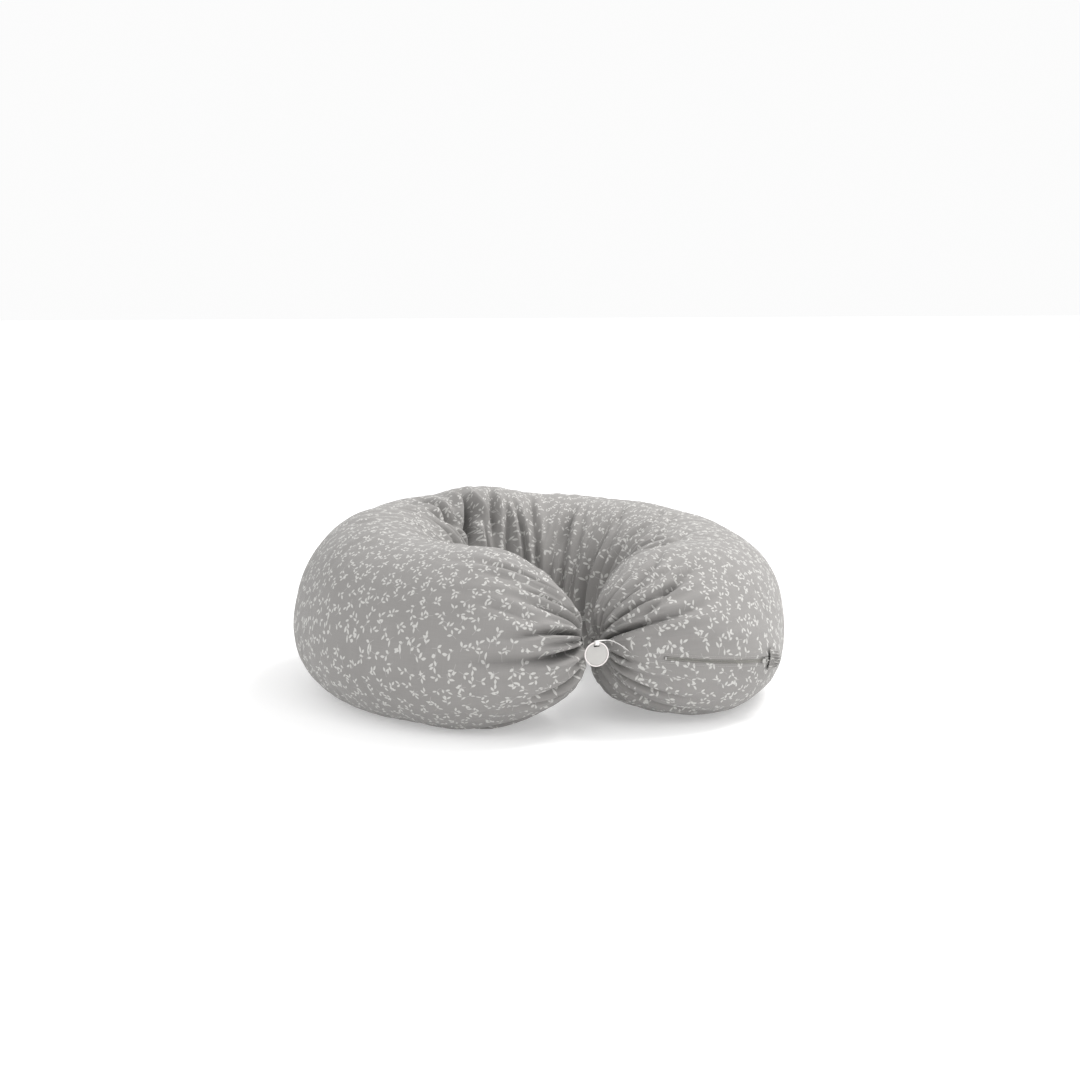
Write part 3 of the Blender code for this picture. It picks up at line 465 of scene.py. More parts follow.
def sprigs(shade, u, v, turn, shift, leaves, stem_start, stem_end):
    """One layer of scattered sprigs, on a grid of cells that is itself turned and shifted."""
    c, s = math.cos(turn), math.sin(turn)
    across, along = u * c + v * s + shift, v * c - u * s + shift
    cells = shade.node("ShaderNodeTexVoronoi", {"voronoi_dimensions": "2D", "feature": "F1"},
                       {"Vector": shade.join(across, along), "Scale": 1 / SPRIG_CELL, "Randomness": 0.55})
    middle_x, middle_y = shade.split(cells.out("Position"))
    chance, bend = shade.split(cells.out("Color"))
    angle = chance * (2 * math.pi)
    turn_c, turn_s = angle.math("COSINE"), angle.math("SINE")
    dx, dy = across - middle_x, along - middle_y
    x = dx * turn_c + dy * turn_s
    y = dy * turn_c - dx * turn_s
    y = y - x * x * (bend - 0.5) * STEM_CURVE
    drawn = stem(x, y, stem_start, stem_end)
    for spec in leaves:
        drawn = drawn.math("MAXIMUM", leaf(x, y, spec))
    return drawn


print("sprigs stand about", round(SPRIG_CELL * 1000), "mm apart in each layer")

# %% [markdown]
# ## Woven cloth
#
# Both cottons are a plain weave: one thread over, one under, both ways. The bump is the product of two sine waves.
# Uneven thread and dye make the ground cloudy. On the cover, the leaves are laid over it a little worn, and the
# cloth is painted darker towards the bottom of its folds: painted shade where little light gets in, as the sky's
# soft light alone would leave it too even. How strongly each point gets that painted shade is stored on the cover
# when it is made.

# %% Woven cloth
THREAD_PITCH = 0.00055
FOLD_SHADE, PAINTED_SHADE_GREY = 0.62, rgb(58, 57, 56)      # painted shade: how far, and towards what grey, the cloth is darkened deep in a fold


def weave_height(shade, u, v, pitch):
    """A plain weave: threads that rise and dip in turn, both ways."""
    turns = 2 * math.pi / pitch
    return shade.wave(u * turns) * shade.wave(v * turns)


def woven(name, colour, roughness, pitch=THREAD_PITCH, uneven=0.06, printed=False, lighter=None):
    """Cotton cloth: woven bump, slightly uneven thread and dye, and for the cover its print and painted shade deep
    in its folds.
    """
    shade = Shade(name)
    u, v = shade.split(shade.uv("cloth"))
    plane = shade.join(u, v)
    slub = shade.noise(shade.join(u * 40, v * 900), 1.0, 1.0) + shade.noise(shade.join(u * 900, v * 40), 1.0, 1.0)
    cloudy = shade.noise(plane, 9.0, 3.0, 0.6)
    level = (slub * 0.5 + cloudy) * 0.5
    dark = tuple(c * (1 - uneven) for c in colour[:3]) + (1.0,)
    light = tuple(c * (1 + uneven) for c in colour[:3]) + (1.0,)
    ground = shade.mix(((level - 0.35) * 3.3).clamp(), dark, light)
    height = weave_height(shade, u, v, pitch)
    if printed:
        drawn = sprigs(shade, u, v, *THREE_LEAF_LAYER)
        drawn = drawn.math("MAXIMUM", sprigs(shade, u, v, *TWO_LEAF_LAYER))
        worn = (shade.noise(plane, 420.0, 2.0) * 0.5 + 0.70).clamp()
        ground = shade.mix(drawn * worn, ground, lighter)
        # painted shade: the cloth's colour is darkened towards a dark grey the deeper it lies in a fold
        folded = shade.node("ShaderNodeAttribute", {"attribute_name": "fold_depth"})
        ground = shade.mix(folded.out("Fac") * FOLD_SHADE, ground, PAINTED_SHADE_GREY)
    shade.set(Base_Color=ground, Roughness=roughness, Specular_IOR_Level=0.25, Sheen_Weight=0.15,
              Sheen_Roughness=0.5)
    shade.set(Normal=shade.bump(height, 0.35, pitch * 0.22))
    return shade.material


COTTON_GREY, LEAF_PALE = rgb(141, 139, 137), rgb(194, 193, 190)
printed_cotton = woven("printed_cotton", COTTON_GREY, 0.88, printed=True, lighter=LEAF_PALE)
casing_cotton = woven("casing_cotton", rgb(238, 236, 230), 0.9, 0.0008)
print("cotton has", len(printed_cotton.node_tree.nodes), "nodes")

# %% [markdown]
# ## The zip's arc
#
# The zip lies on one circle on the outside of the right arm, so that its slider can run along it. `ZipArc` finds
# that circle through three points of the tube's side, and gives any point along it: so far out of the cloth, and so
# far up from the middle of the zip.

# %% The zip's arc


def zip_drop(along):
    """How far the zip's line lies below the tube's middle: level with the end, down, then back up."""
    first = ZIP_DROP_START * along / ZIP_ZONE_START
    share = (along - ZIP_ZONE_START) / (ZIP_ZONE_END - ZIP_ZONE_START)
    second = ZIP_DROP_START + share * (ZIP_DROP_END - ZIP_DROP_START)
    rest = np.clip((along - ZIP_ZONE_END) / (RIGHT_LENGTH - ZIP_ZONE_END), 0.0, 1.0)
    third = ZIP_DROP_END * (0.5 + 0.5 * np.cos(math.pi * rest))
    return np.where(along < ZIP_ZONE_START, first, np.where(along < ZIP_ZONE_END, second, third))


def seam_turn(along):
    """The angle round the section at which the zip's line runs."""
    half_height = half_sizes(along)[1]
    return -np.arcsin(np.minimum(zip_drop(along) / half_height, 0.6) ** (SECTION_POWER / 2))


class ZipArc:
    def __init__(self):
        places = np.array([ZIP_ZONE_START, (ZIP_ZONE_START + ZIP_ZONE_END) / 2, ZIP_ZONE_END])
        first, second, third = [Vector(p) for p in skin(places, seam_turn(places))]
        one, two = second - first, third - first
        normal = one.cross(two)
        self.axis = normal.normalized() if normal.z > 0 else -normal.normalized()
        to_centre = one.length_squared * two.cross(normal) + two.length_squared * normal.cross(one)
        self.centre = first + to_centre / (2 * normal.length_squared)
        self.radius = (first - self.centre).length
        self.base = (first - self.centre).normalized()
        side = self.axis.cross(self.base)
        self.side = side if side.dot(third - self.centre) > 0 else -side
        self.length = self.base.angle(third - self.centre) * self.radius

    def radial(self, along):
        angle = along / self.radius
        return self.base * math.cos(angle) + self.side * math.sin(angle)

    def point(self, along, out=0.0, up=0.0):
        return self.centre + self.radial(along) * (self.radius + out) + self.axis * up

    def facing(self, along):
        """The place along the tube's middle line that this place on the zip lies beside."""
        target = np.array(self.point(along).xy)
        low, high = 0.0, RIGHT_LENGTH
        for _ in range(40):
            middle = (low + high) / 2
            point, ahead, _ = ring_frame(middle)
            if np.dot(target - point, ahead) > 0:
                low = middle
            else:
                high = middle
        return (low + high) / 2


arc = ZipArc()
frame_marks = [arc.length * i / ZIP_MARKS for i in range(ZIP_MARKS + 1)]
SLOT_START = min(m for m in frame_marks if m >= SLOT_START_MARGIN)
SLOT_END = max(m for m in frame_marks if m <= arc.length - SLOT_END_MARGIN)
PARK = SLOT_END - STOP_LENGTH - 4 * TOUCH_GAP - SLIDER_LENGTH / 2
HOOD_START = PARK + SLIDER_LENGTH / 2 + HOOD_MOUTH_CLEARANCE
print("zip arc", round(arc.length, 4), "m long, slot", round(SLOT_START, 4), "to", round(SLOT_END, 4))

# %% [markdown]
# ## The cover as one woven grid
#
# Cloth is easiest to shape as a grid: rings of points along the tube, each ring with the same number of columns.
# The rings stand closer where the end closes. Sixteen columns run along the zip, so that its slot has clean edges,
# and the others share the rest of the way round evenly. The folds come later, as heights above this smooth skin.

# %% Rings and columns
RING_STEP = 0.0036
ROUND_COLUMNS = 176
ZIP_UPS = (-0.0150, -0.0115, -0.0085, -0.0062, -0.0046, -SLOT_HALF, -LIP_HALF, -0.0010)
ZIP_UPS = ZIP_UPS + tuple(-up for up in reversed(ZIP_UPS))
SLOT_COLUMNS = (6, 7, 8)
MARKS_BETWEEN = 5
END_RISE = 0.12           # how much a closing end adds to the way along the cloth


def spread_rings(start, end, step):
    """Places from start to end, closer together where the tube closes."""
    fine = np.linspace(start, end, 4000)
    way = np.hypot(np.diff(fine), END_RISE * np.diff(swell_at(fine)))
    run = np.concatenate([[0.0], np.cumsum(way)])
    return np.interp(np.linspace(0.0, run[-1], max(int(run[-1] / step), 2) + 1), run, fine)


def plan_rings(step, between):
    """The rings' places, and for those beside the zip their place on its arc."""
    marks = np.linspace(0.0, arc.length, ZIP_MARKS * between + 1)
    beside = np.array([arc.facing(m) for m in marks])
    before = spread_rings(0.0, beside[0], step)[:-1]
    after = spread_rings(beside[-1], TOTAL, step)[1:]
    places = np.concatenate([before, beside, after])
    on_arc = np.full(len(places), np.nan)
    on_arc[len(before):len(before) + len(marks)] = marks
    return places, on_arc


def even_shares(count):
    """Shares of the way round from the zip's top column to its bottom column, even in length of cloth."""
    turns = np.linspace(0.0, 2 * math.pi, 2001)
    middle = skin(np.full(len(turns), RIGHT_LENGTH / 2), turns)
    run = np.concatenate([[0.0], np.cumsum(np.linalg.norm(np.diff(middle, axis=0), axis=1))])
    return np.interp(np.linspace(0, run[-1], count + 2)[1:-1], run, turns) / (2 * math.pi)


def plan_turns(places, shares):
    """The angle round the section of every column at every ring."""
    half_height = half_sizes(places)[1]
    seam = seam_turn(places)
    squeeze = np.minimum(1.0, half_height / (4 * ZIP_UPS[-1]))
    base = signed_power(np.sin(seam), 2 / SECTION_POWER)
    levels = base[:, None] + np.array(ZIP_UPS) * (squeeze / half_height)[:, None]
    strip = np.arcsin(signed_power(np.clip(levels, -0.98, 0.98), SECTION_POWER / 2))
    bottom, top = strip[:, :1], strip[:, -1:]
    others = top + (bottom + 2 * math.pi - top) * shares[None, :]
    return np.concatenate([strip, others], axis=1)


places, on_arc = plan_rings(RING_STEP, MARKS_BETWEEN)
turns = plan_turns(places, even_shares(ROUND_COLUMNS))
ALONG = places[:, None] + np.zeros_like(turns)
smooth_skin = skin(ALONG, turns)
print("cover grid", turns.shape)

# %% [markdown]
# ## Laying the cloth onto the zip
#
# Along the zip the cloth lies flat against the tape, so the columns near it are drawn onto the zip's arc. A few
# rounds of averaging then take the step out of the cloth around that strip, the way a hand would smooth it.

# %% The flat strip at the zip
STRIP_HOLD = np.array([0.1, 0.4, 0.8, 1.0, 1.0, 1.0, 1.0, 1.0])
STRIP_HOLD = np.concatenate([STRIP_HOLD, STRIP_HOLD[::-1]])
SMOOTH_COLUMNS, SMOOTH_ROUNDS = 9, 12


def lay_on_zip(points):
    laid = points.copy()
    for i in np.flatnonzero(~np.isnan(on_arc)):
        for j, up in enumerate(ZIP_UPS):
            target = np.array(arc.point(on_arc[i], -LIP_DIP if abs(up) < SLOT_HALF else 0.0, up))
            laid[i, j] += (target - laid[i, j]) * STRIP_HOLD[j]
    return laid


def neighbours_average(points):
    around = np.roll(points, 1, axis=1) + np.roll(points, -1, axis=1)
    along = np.concatenate([points[:1], points[:-1]]) + np.concatenate([points[1:], points[-1:]])
    return (around + along) / 4


def smooth_strip(points):
    near = np.zeros(points.shape[:2])
    rows = np.flatnonzero(~np.isnan(on_arc))
    rows = slice(max(rows[0] - 4, 1), rows[-1] + 12)
    near[rows, :len(ZIP_UPS) + SMOOTH_COLUMNS] = 1.0
    near[rows, -SMOOTH_COLUMNS:] = 1.0
    near[rows, 3:13] = 0.0
    for _ in range(SMOOTH_ROUNDS):
        points = points + (neighbours_average(points) - points) * near[..., None] * 0.7
    return points


base_skin = smooth_strip(lay_on_zip(smooth_skin))
print("cloth laid on the zip within", round(float(np.abs(base_skin - smooth_skin).max()) * 1000, 1), "mm")

# %% [markdown]
# ## Puckers at the gathered ends
#
# At each end the whole width of the cloth, about 0.7 m, is drawn up onto a thread and into a knot of a centimetre.
# The spare cloth has to go somewhere, and it goes into folds that run away from the knot: narrow valleys with round
# ridges between them, each of its own length. Near the knot they are crowded; further out most of them fade.

# %% Folds that run away from an end
WAY_FROM_END = np.concatenate([[0.0], np.cumsum(np.linalg.norm(np.diff(base_skin[:, 0], axis=0), axis=1))])
LOCAL_RADIUS = (swell_at(places) * WIDTH_FRONT / 2 + END_HOLE)[:, None]


def smooth_step(low, high, value):
    share = np.clip((value - low) / (high - low), 0.0, 1.0)
    return share * share * (3 - 2 * share)


def wrapped(angle):
    return (angle + math.pi) % (2 * math.pi) - math.pi


def valley(offset, width, ridge=0.32):
    """The height across one fold: a narrow valley, and a low ridge on each side of it."""
    far = np.abs(offset) / width
    return -np.exp(-far ** 1.3) + ridge * np.exp(-((far - 2.3) / 1.1) ** 2)


PUCKER_NARROWEST = 0.0017


def end_puckers(way, seed, count, deepest, reach, crowd, twist, spread):
    """Folds from one gathered end. way is how far each ring lies from that end along the cloth, and spread is how
    fast a fold widens on its way."""
    chance = np.random.default_rng(seed)
    height = np.zeros_like(turns)
    middles = (np.arange(count) + chance.uniform(-0.28, 0.28, count)) * 2 * math.pi / count
    for middle in middles:
        own_reach = chance.uniform(*reach)
        own_depth = deepest * chance.uniform(0.55, 1.0)
        own_twist = twist * chance.uniform(0.3, 1.6)
        share = np.clip(way / own_reach, 0.0, 1.0)[:, None]
        fade = np.minimum(share / crowd, 1.0) ** 0.8 * (1 - share) ** 1.25
        depth = np.minimum(own_depth * fade, LOCAL_RADIUS * 0.23)
        width = PUCKER_NARROWEST + spread * way[:, None] * chance.uniform(0.8, 1.2)
        sway = chance.uniform(-0.06, 0.06) * np.sin(way[:, None] / own_reach * 5 + chance.uniform(0, 6))
        offset = wrapped(turns - middle - own_twist * way[:, None] - sway) * LOCAL_RADIUS
        height += depth * valley(offset, width)
    return height, np.sort(middles % (2 * math.pi))


right_way = WAY_FROM_END
left_way = WAY_FROM_END[-1] - WAY_FROM_END
right_folds, right_lobes = end_puckers(right_way, 11, 16, 0.0250, (0.130, 0.300), 0.14, 1.1, 0.023)
left_folds, left_lobes = end_puckers(left_way, 5, 17, 0.0300, (0.150, 0.340), 0.13, -1.0, 0.023)
middle_right, _ = end_puckers(right_way, 41, 25, 0.0120, (0.060, 0.170), 0.20, 0.9, 0.019)
middle_left, _ = end_puckers(left_way, 47, 27, 0.0150, (0.070, 0.210), 0.16, -0.9, 0.017)
small_right, _ = end_puckers(right_way, 23, 37, 0.0042, (0.030, 0.080), 0.25, 0.8, 0.018)
small_left, _ = end_puckers(left_way, 31, 41, 0.0042, (0.030, 0.085), 0.25, -0.8, 0.018)
pucker_height = right_folds + left_folds + middle_right + middle_left + small_right + small_left
print("deepest pucker", round(float(-pucker_height.min()) * 1000, 1), "mm")

# %% [markdown]
# ## Buckles inside the bend
#
# Bent into a ring, the tube has far too much cloth on its inner side. It buckles there into short folds that run
# across the tube, from its top down to the floor, each with its own depth, width and slant.

# %% Buckles inside the bend
INNER_SPACING = 0.050


def inner_buckles(seed):
    chance = np.random.default_rng(seed)
    height = np.zeros_like(turns)
    middles = []
    place = 0.130
    while place < TOTAL - 0.130:
        middles.append(place)
        depth = chance.uniform(0.0045, 0.0125)
        width = chance.uniform(0.0032, 0.0058)
        slant = chance.uniform(-0.030, 0.030)
        top = math.radians(chance.uniform(84, 104))
        bottom = math.radians(chance.uniform(225, 262))
        reach = smooth_step(top, top + 0.75, turns) * (1 - smooth_step(bottom - 0.5, bottom, turns))
        squeeze = 1 - 0.55 * smooth_step(1.2, 2.8, turns)
        bowed = 0.006 * np.sin(3 * turns + chance.uniform(0, 6))
        offset = (ALONG - place - slant * (turns - math.pi) - bowed) * squeeze
        height += depth * reach * valley(offset, width, 0.45)
        place += INNER_SPACING * chance.uniform(0.45, 1.45)
    return height, np.array(middles)


buckle_height, buckle_places = inner_buckles(17)
print(len(buckle_places), "buckles inside the bend")

# %% [markdown]
# ## Creases laid one by one
#
# Some folds are too plain to leave to chance: the deep ones at the back left, which swallow the cloth between them,
# and the long creases that cross the arms. Such a fold is a line of places, each an angle round the ring and an
# angle round the section, both in degrees. Its height comes from how far a point lies from that line.

# %% Creases


def skin_place(ring_degrees, turn_degrees):
    along = np.interp(np.radians(ring_degrees), LINE_ANGLES, LINE_LENGTHS)
    return skin(np.atleast_1d(along), np.atleast_1d(np.radians(turn_degrees)))[0]


def round_line(stops, pieces=8):
    """A smooth line through the stops, by Catmull-Rom."""
    stops = np.array(stops, float)
    padded = np.concatenate([2 * stops[:1] - stops[1:2], stops, 2 * stops[-1:] - stops[-2:-1]])
    line = []
    for i in range(1, len(padded) - 2):
        for t in np.arange(pieces) / pieces:
            a, b, c, d = padded[i - 1:i + 3]
            line.append(0.5 * (2 * b + (c - a) * t + (2 * a - 5 * b + 4 * c - d) * t ** 2
                               + (3 * b - a - 3 * c + d) * t ** 3))
    return np.array(line + [stops[-1]])


def crease(stops, depth, width, ridge=0.35, taper=0.6):
    """The height of one listed fold, from the distance to its line."""
    line = np.array([skin_place(*stop) for stop in round_line(stops)])
    best = np.full(turns.shape, 1e9)
    share = np.zeros(turns.shape)
    for i in range(len(line) - 1):
        run = line[i + 1] - line[i]
        t = np.clip(((base_skin - line[i]) @ run) / (run @ run), 0.0, 1.0)
        far = np.linalg.norm(base_skin - line[i] - t[..., None] * run, axis=-1)
        nearer = far < best
        best = np.where(nearer, far, best)
        share = np.where(nearer, (i + t) / (len(line) - 1), share)
    fade = np.sin(math.pi * np.clip(share, 0.02, 0.98)) ** taper
    return depth * fade * valley(best, width, ridge)


def swelling(ring_degrees, turn_degrees, rise, size):
    far = np.linalg.norm(base_skin - skin_place(ring_degrees, turn_degrees), axis=-1)
    return rise * np.exp(-(far / size) ** 2)


DEEP_FOLDS = (
    (((219, 92), (224, 108), (229, 130), (231, 152), (229, 175)), 0.0300, 0.0058),
    (((196, 88), (202, 104), (207, 128), (216, 146), (224, 172)), 0.0380, 0.0080),
    (((184, 96), (188, 118), (193, 140), (198, 165)), 0.0120, 0.0050),
)
LONG_CREASES = (
    (((8, 30), (14, 44), (22, 58), (34, 68)), 0.0085, 0.0046),
    (((7, 70), (14, 78), (22, 88), (32, 95)), 0.0080, 0.0045),
    (((86, 130), (91, 114), (97, 100), (106, 90)), 0.0075, 0.0042),
    (((70, 136), (76, 118), (84, 104), (92, 94)), 0.0065, 0.0040),
    (((110, 132), (114, 116), (119, 102)), 0.0050, 0.0040),
    (((44, 118), (54, 106), (66, 94)), 0.0060, 0.0042),
    (((345, 22), (338, 30), (330, 34)), 0.0040, 0.0050),
    (((344, 352), (336, 350), (327, 352)), 0.0040, 0.0050),
    (((352, 60), (340, 62), (330, 58)), 0.0045, 0.0050),
    (((262, 60), (270, 76), (276, 96)), 0.0022, 0.0060),
    (((150, 60), (158, 78), (166, 96)), 0.0025, 0.0055),
)
crease_height = sum(crease(*fold) for fold in DEEP_FOLDS) + sum(crease(*fold) for fold in LONG_CREASES)
crease_height = crease_height + swelling(213, 118, 0.0130, 0.026) + swelling(236, 110, 0.0070, 0.030)
print(len(DEEP_FOLDS) + len(LONG_CREASES), "creases, the deepest", round(-crease_height.min() * 1000, 1), "mm")

# %% [markdown]
# ## Settling the cloth
#
# The heights are added along the smooth skin's own normals. A slow swell over the whole tube keeps it from looking
# turned on a lathe, because loose beads never lie quite even. Everything fades out beside the zip, whose tape keeps
# the cloth flat, and nothing goes below the floor.

# %% Heights onto the skin
SWELL_WAVES, SWELL_RISE = 14, 0.0011
ZIP_FLAT, ZIP_FREE = 0.014, 0.036
FOLD_SHALLOW, FOLD_DEEP = 0.0015, 0.0170      # the depths at which the painted shade in a fold starts, and is darkest
RIBBON_SEAT = 0.0130      # where the ribbon is sewn on, along the middle line


def grid_normals(points):
    along = np.gradient(points, axis=0)
    around = (np.roll(points, -1, axis=1) - np.roll(points, 1, axis=1)) / 2
    normal = np.cross(around, along)
    return -normal / np.maximum(np.linalg.norm(normal, axis=-1, keepdims=True), 1e-12)


def slow_swell(seed):
    chance = np.random.default_rng(seed)
    height = np.zeros_like(turns)
    for _ in range(SWELL_WAVES):
        around = chance.integers(0, 4)
        length = chance.uniform(0.11, 0.45)
        height += np.sin(2 * math.pi * ALONG / length + around * turns + chance.uniform(0, 2 * math.pi))
    return SWELL_RISE * height * swell_at(ALONG)


def cloth_grain(seed):
    """Small soft wrinkles, drawn out along the tube near its ends and across it inside the bend."""
    chance = np.random.default_rng(seed)
    inner = smooth_step(1.3, 2.4, turns) * (1 - smooth_step(3.9, 4.6, turns))
    near_end = 1 - smooth_step(0.05, 0.26, from_end(ALONG))
    height = np.zeros_like(turns)
    for _ in range(12):
        phase = chance.uniform(0, 6, 2)
        across = np.sin(2 * math.pi * ALONG / chance.uniform(0.016, 0.034) + 2 * np.sin(2 * turns + phase[0]))
        lengthwise = np.sin(chance.integers(18, 40) * turns + 2 * np.sin(ALONG / 0.04 + phase[1]))
        height += (0.00022 * inner + 0.00013 * (1 - inner)) * across * (1 - near_end)
        height += 0.00028 * lengthwise * near_end
    return height


zip_offset = np.abs(wrapped(turns - seam_turn(places)[:, None])) * WIDTH_FRONT / 2
beside_zip = smooth_step(-0.02, 0.01, ALONG) * (1 - smooth_step(ZIP_ZONE_END + 0.005, ZIP_ZONE_END + 0.04, ALONG))
free = 1 - beside_zip * (1 - smooth_step(ZIP_FLAT, ZIP_FREE, zip_offset))
ribbon_seat = skin(np.array([RIBBON_SEAT]), np.array([0.0]))[0]
free = free * smooth_step(0.004, 0.012, np.linalg.norm(base_skin - ribbon_seat, axis=-1))
near_floor = smooth_step(0.0, 0.03, base_skin[..., 2])
heights = pucker_height + (buckle_height + crease_height) * near_floor + slow_swell(3) + cloth_grain(8)
normals = grid_normals(base_skin)
folded_skin = base_skin + normals * (heights * free)[..., None]
folded_skin[..., 2] = np.maximum(folded_skin[..., 2], 0.0)
# painted shade: how strongly the cover's colour is darkened, from how deep each point lies in a fold
fold_depth = smooth_step(FOLD_SHALLOW, FOLD_DEEP, -(heights - slow_swell(3)) * free)
print("folds from", round(float(heights.min()) * 1000, 1), "to", round(float(heights.max()) * 1000, 1), "mm")

# %% [markdown]
# ## Turning a grid into faces
#
# Two small helpers: one lists the four corners of every square of a grid, and the other makes an object from points
# and faces. The cloth pass needs them first, and later every piece that is sewn from a grid.

# %% Faces for a grid


def grid_quads(rows, columns, wrap, skip=()):
    quads = []
    for i in range(rows - 1):
        for j in range(columns if wrap else columns - 1):
            if (i, j) in skip:
                continue
            k = (j + 1) % columns
            quads.append((i, j, i * columns + j, i * columns + k, (i + 1) * columns + k, (i + 1) * columns + j))
    return quads


def add_mesh(name, points, faces, material, smooth=True):
    mesh = bpy.data.meshes.new(name)
    mesh.from_pydata([tuple(p) for p in points], [], faces)
    mesh.materials.append(material)
    mesh.validate()
    if smooth:
        mesh.shade_smooth()
    obj = bpy.data.objects.new(name, mesh)
    bpy.context.scene.collection.objects.link(obj)
    return obj


print("grid helpers ready")

# %% [markdown]
# ## Letting the cloth settle
#
# Drawn folds look drawn. To make them hang like cloth, every second ring and column goes through Blender's cloth
# solver: pressure from inside stands for the beads, gravity is off because the beads already carry the cloth, and
# the cloth near the ends and inside the bend is cut a little larger than the shape, so that it has to buckle. The
# ends, the zip and the sole are pinned. How far each point moved is then capped and spread back onto the fine grid.

# %% Where the cloth is held and where it is spare
CLOTH_FRAMES, CLOTH_PRESSURE, CLOTH_SLACK, CLOTH_CAP = 16, 3.0, 0.10, 0.010
CLOTH_MASS, CLOTH_QUALITY = 0.15, 6
CLOTH_STRETCH, CLOTH_SHEAR, CLOTH_BEND = 18.0, 6.0, 0.25


def pinned_share():
    """1 where the cloth is held: both ends, the zip and the sole."""
    ends = 1 - smooth_step(0.012, 0.030, np.minimum(WAY_FROM_END, WAY_FROM_END[-1] - WAY_FROM_END))
    sole = 1 - smooth_step(0.004, 0.022, folded_skin[..., 2])
    return np.maximum(np.maximum(1 - free, ends[:, None]), sole)


def slack_share():
    """1 where there is spare cloth: inside the bend and near the gathered ends."""
    inner = smooth_step(1.1, 2.2, turns) * (1 - smooth_step(4.0, 4.8, turns))
    near_end = 1 - smooth_step(0.06, 0.24, from_end(ALONG))
    return np.maximum(inner, near_end)


def add_weights(obj, name, values):
    group = obj.vertex_groups.new(name=name)
    for index, value in enumerate(values.ravel()):
        if value > 0.001:
            group.add([index], float(value), "REPLACE")
    return group.name


print("held", round(float(pinned_share().mean()), 2), "and spare", round(float(slack_share().mean()), 2))

# %% [markdown]
# ## Running the solver
#
# The solver's frames are stepped through one by one, and the coarse grid's movement is read off at the end. The
# helper object is then removed, so that nothing is left to solve when the pillow is opened later.

# %% Cloth pass


def settle(points):
    """Run the cloth solver on a coarser grid and give back how far each of its points moved."""
    coarse = points[::2, ::2]
    rows, columns = coarse.shape[:2]
    faces = [quad[2:] for quad in grid_quads(rows, columns, True)]
    obj = add_mesh("cloth_pass", coarse.reshape(-1, 3), [f[::-1] for f in faces], printed_cotton)
    modifier = obj.modifiers.new("cloth", "CLOTH")
    cloth = modifier.settings
    cloth.vertex_group_mass = add_weights(obj, "pinned", pinned_share()[::2, ::2])
    cloth.vertex_group_shrink = add_weights(obj, "slack", slack_share()[::2, ::2])
    cloth.shrink_min, cloth.shrink_max = 0.0, -CLOTH_SLACK
    cloth.quality, cloth.mass = CLOTH_QUALITY, CLOTH_MASS
    cloth.tension_stiffness = cloth.compression_stiffness = CLOTH_STRETCH
    cloth.shear_stiffness, cloth.bending_stiffness = CLOTH_SHEAR, CLOTH_BEND
    cloth.use_pressure, cloth.uniform_pressure_force = True, CLOTH_PRESSURE
    cloth.effector_weights.gravity = 0.0
    modifier.collision_settings.use_collision = False
    modifier.collision_settings.use_self_collision = False
    scene = bpy.context.scene
    for number in range(1, CLOTH_FRAMES + 1):
        scene.frame_set(number)
    settled = obj.evaluated_get(bpy.context.evaluated_depsgraph_get()).data
    moved = np.zeros(len(settled.vertices) * 3, np.float32)
    settled.vertices.foreach_get("co", moved)
    moved = moved.reshape(coarse.shape).astype(float) - coarse
    bpy.data.objects.remove(obj, do_unlink=True)
    scene.frame_set(1)
    return moved


def spread_to_fine(moved, rows, columns):
    """Straight-line filling between the coarse grid's points, along and round."""
    coarse_rows = np.arange(moved.shape[0]) * 2
    closed = np.concatenate([moved, moved[:, :1]], axis=1)
    coarse_columns = np.arange(closed.shape[1]) * 2
    fine = np.zeros((rows, columns, 3))
    for k in range(3):
        tall = np.array([np.interp(np.arange(rows), coarse_rows, closed[:, j, k]) for j in range(closed.shape[1])])
        fine[..., k] = np.array([np.interp(np.arange(columns), coarse_columns, tall[:, i]) for i in range(rows)])
    return fine


def capped(moved):
    length = np.linalg.norm(moved, axis=-1, keepdims=True)
    return moved * np.tanh(length / CLOTH_CAP) * CLOTH_CAP / np.maximum(length, 1e-9)


moved = capped(spread_to_fine(settle(folded_skin), *turns.shape))
folded_skin = folded_skin + moved * (1 - pinned_share())[..., None]
folded_skin[..., 2] = np.maximum(folded_skin[..., 2], 0.0)
print("cloth moved up to", round(float(np.linalg.norm(moved, axis=-1).max()) * 1000, 1), "mm")

# %% [markdown]
# ## The cloth's own measure
#
# The print has to keep its size, so every point needs to know where it lies on the flat cloth, in metres. Along the
# tube that is the length of its outer side, which isn't gathered. Round the tube it is the full width of the cloth.
# Where the cloth is drawn up, part of it is hidden in the folds: from one valley to the next the measure runs on at
# its true rate and then jumps, so that the leaves look cut off by a fold and not squashed.

# %% The measure along and round the tube
OUTER_COLUMN = ZIP_UPS.index(0.0010)
outer_run = np.concatenate([[0.0], np.cumsum(np.linalg.norm(np.diff(smooth_skin[:, OUTER_COLUMN], axis=0), axis=1))])
inner_column = int(np.argmin(np.abs(turns[len(places) // 2] - math.pi)))
inner_run = np.concatenate([[0.0], np.cumsum(np.linalg.norm(np.diff(smooth_skin[:, inner_column], axis=0), axis=1))])
CLOTH_ROUND = float(np.linalg.norm(np.diff(smooth_skin[len(places) // 2], axis=0), axis=1).sum())


def measure_round(angles, lobes, share):
    """The cloth's measure round the tube. share is how much of the cloth still shows at each ring."""
    edges = np.concatenate([lobes - 2 * math.pi, lobes, lobes + 2 * math.pi])
    index = np.clip(np.searchsorted(edges, angles) - 1, 0, len(edges) - 2)
    middle = (edges[index] + edges[index + 1]) / 2
    return (middle + (angles - middle) * share[:, None]) * CLOTH_ROUND / (2 * math.pi)


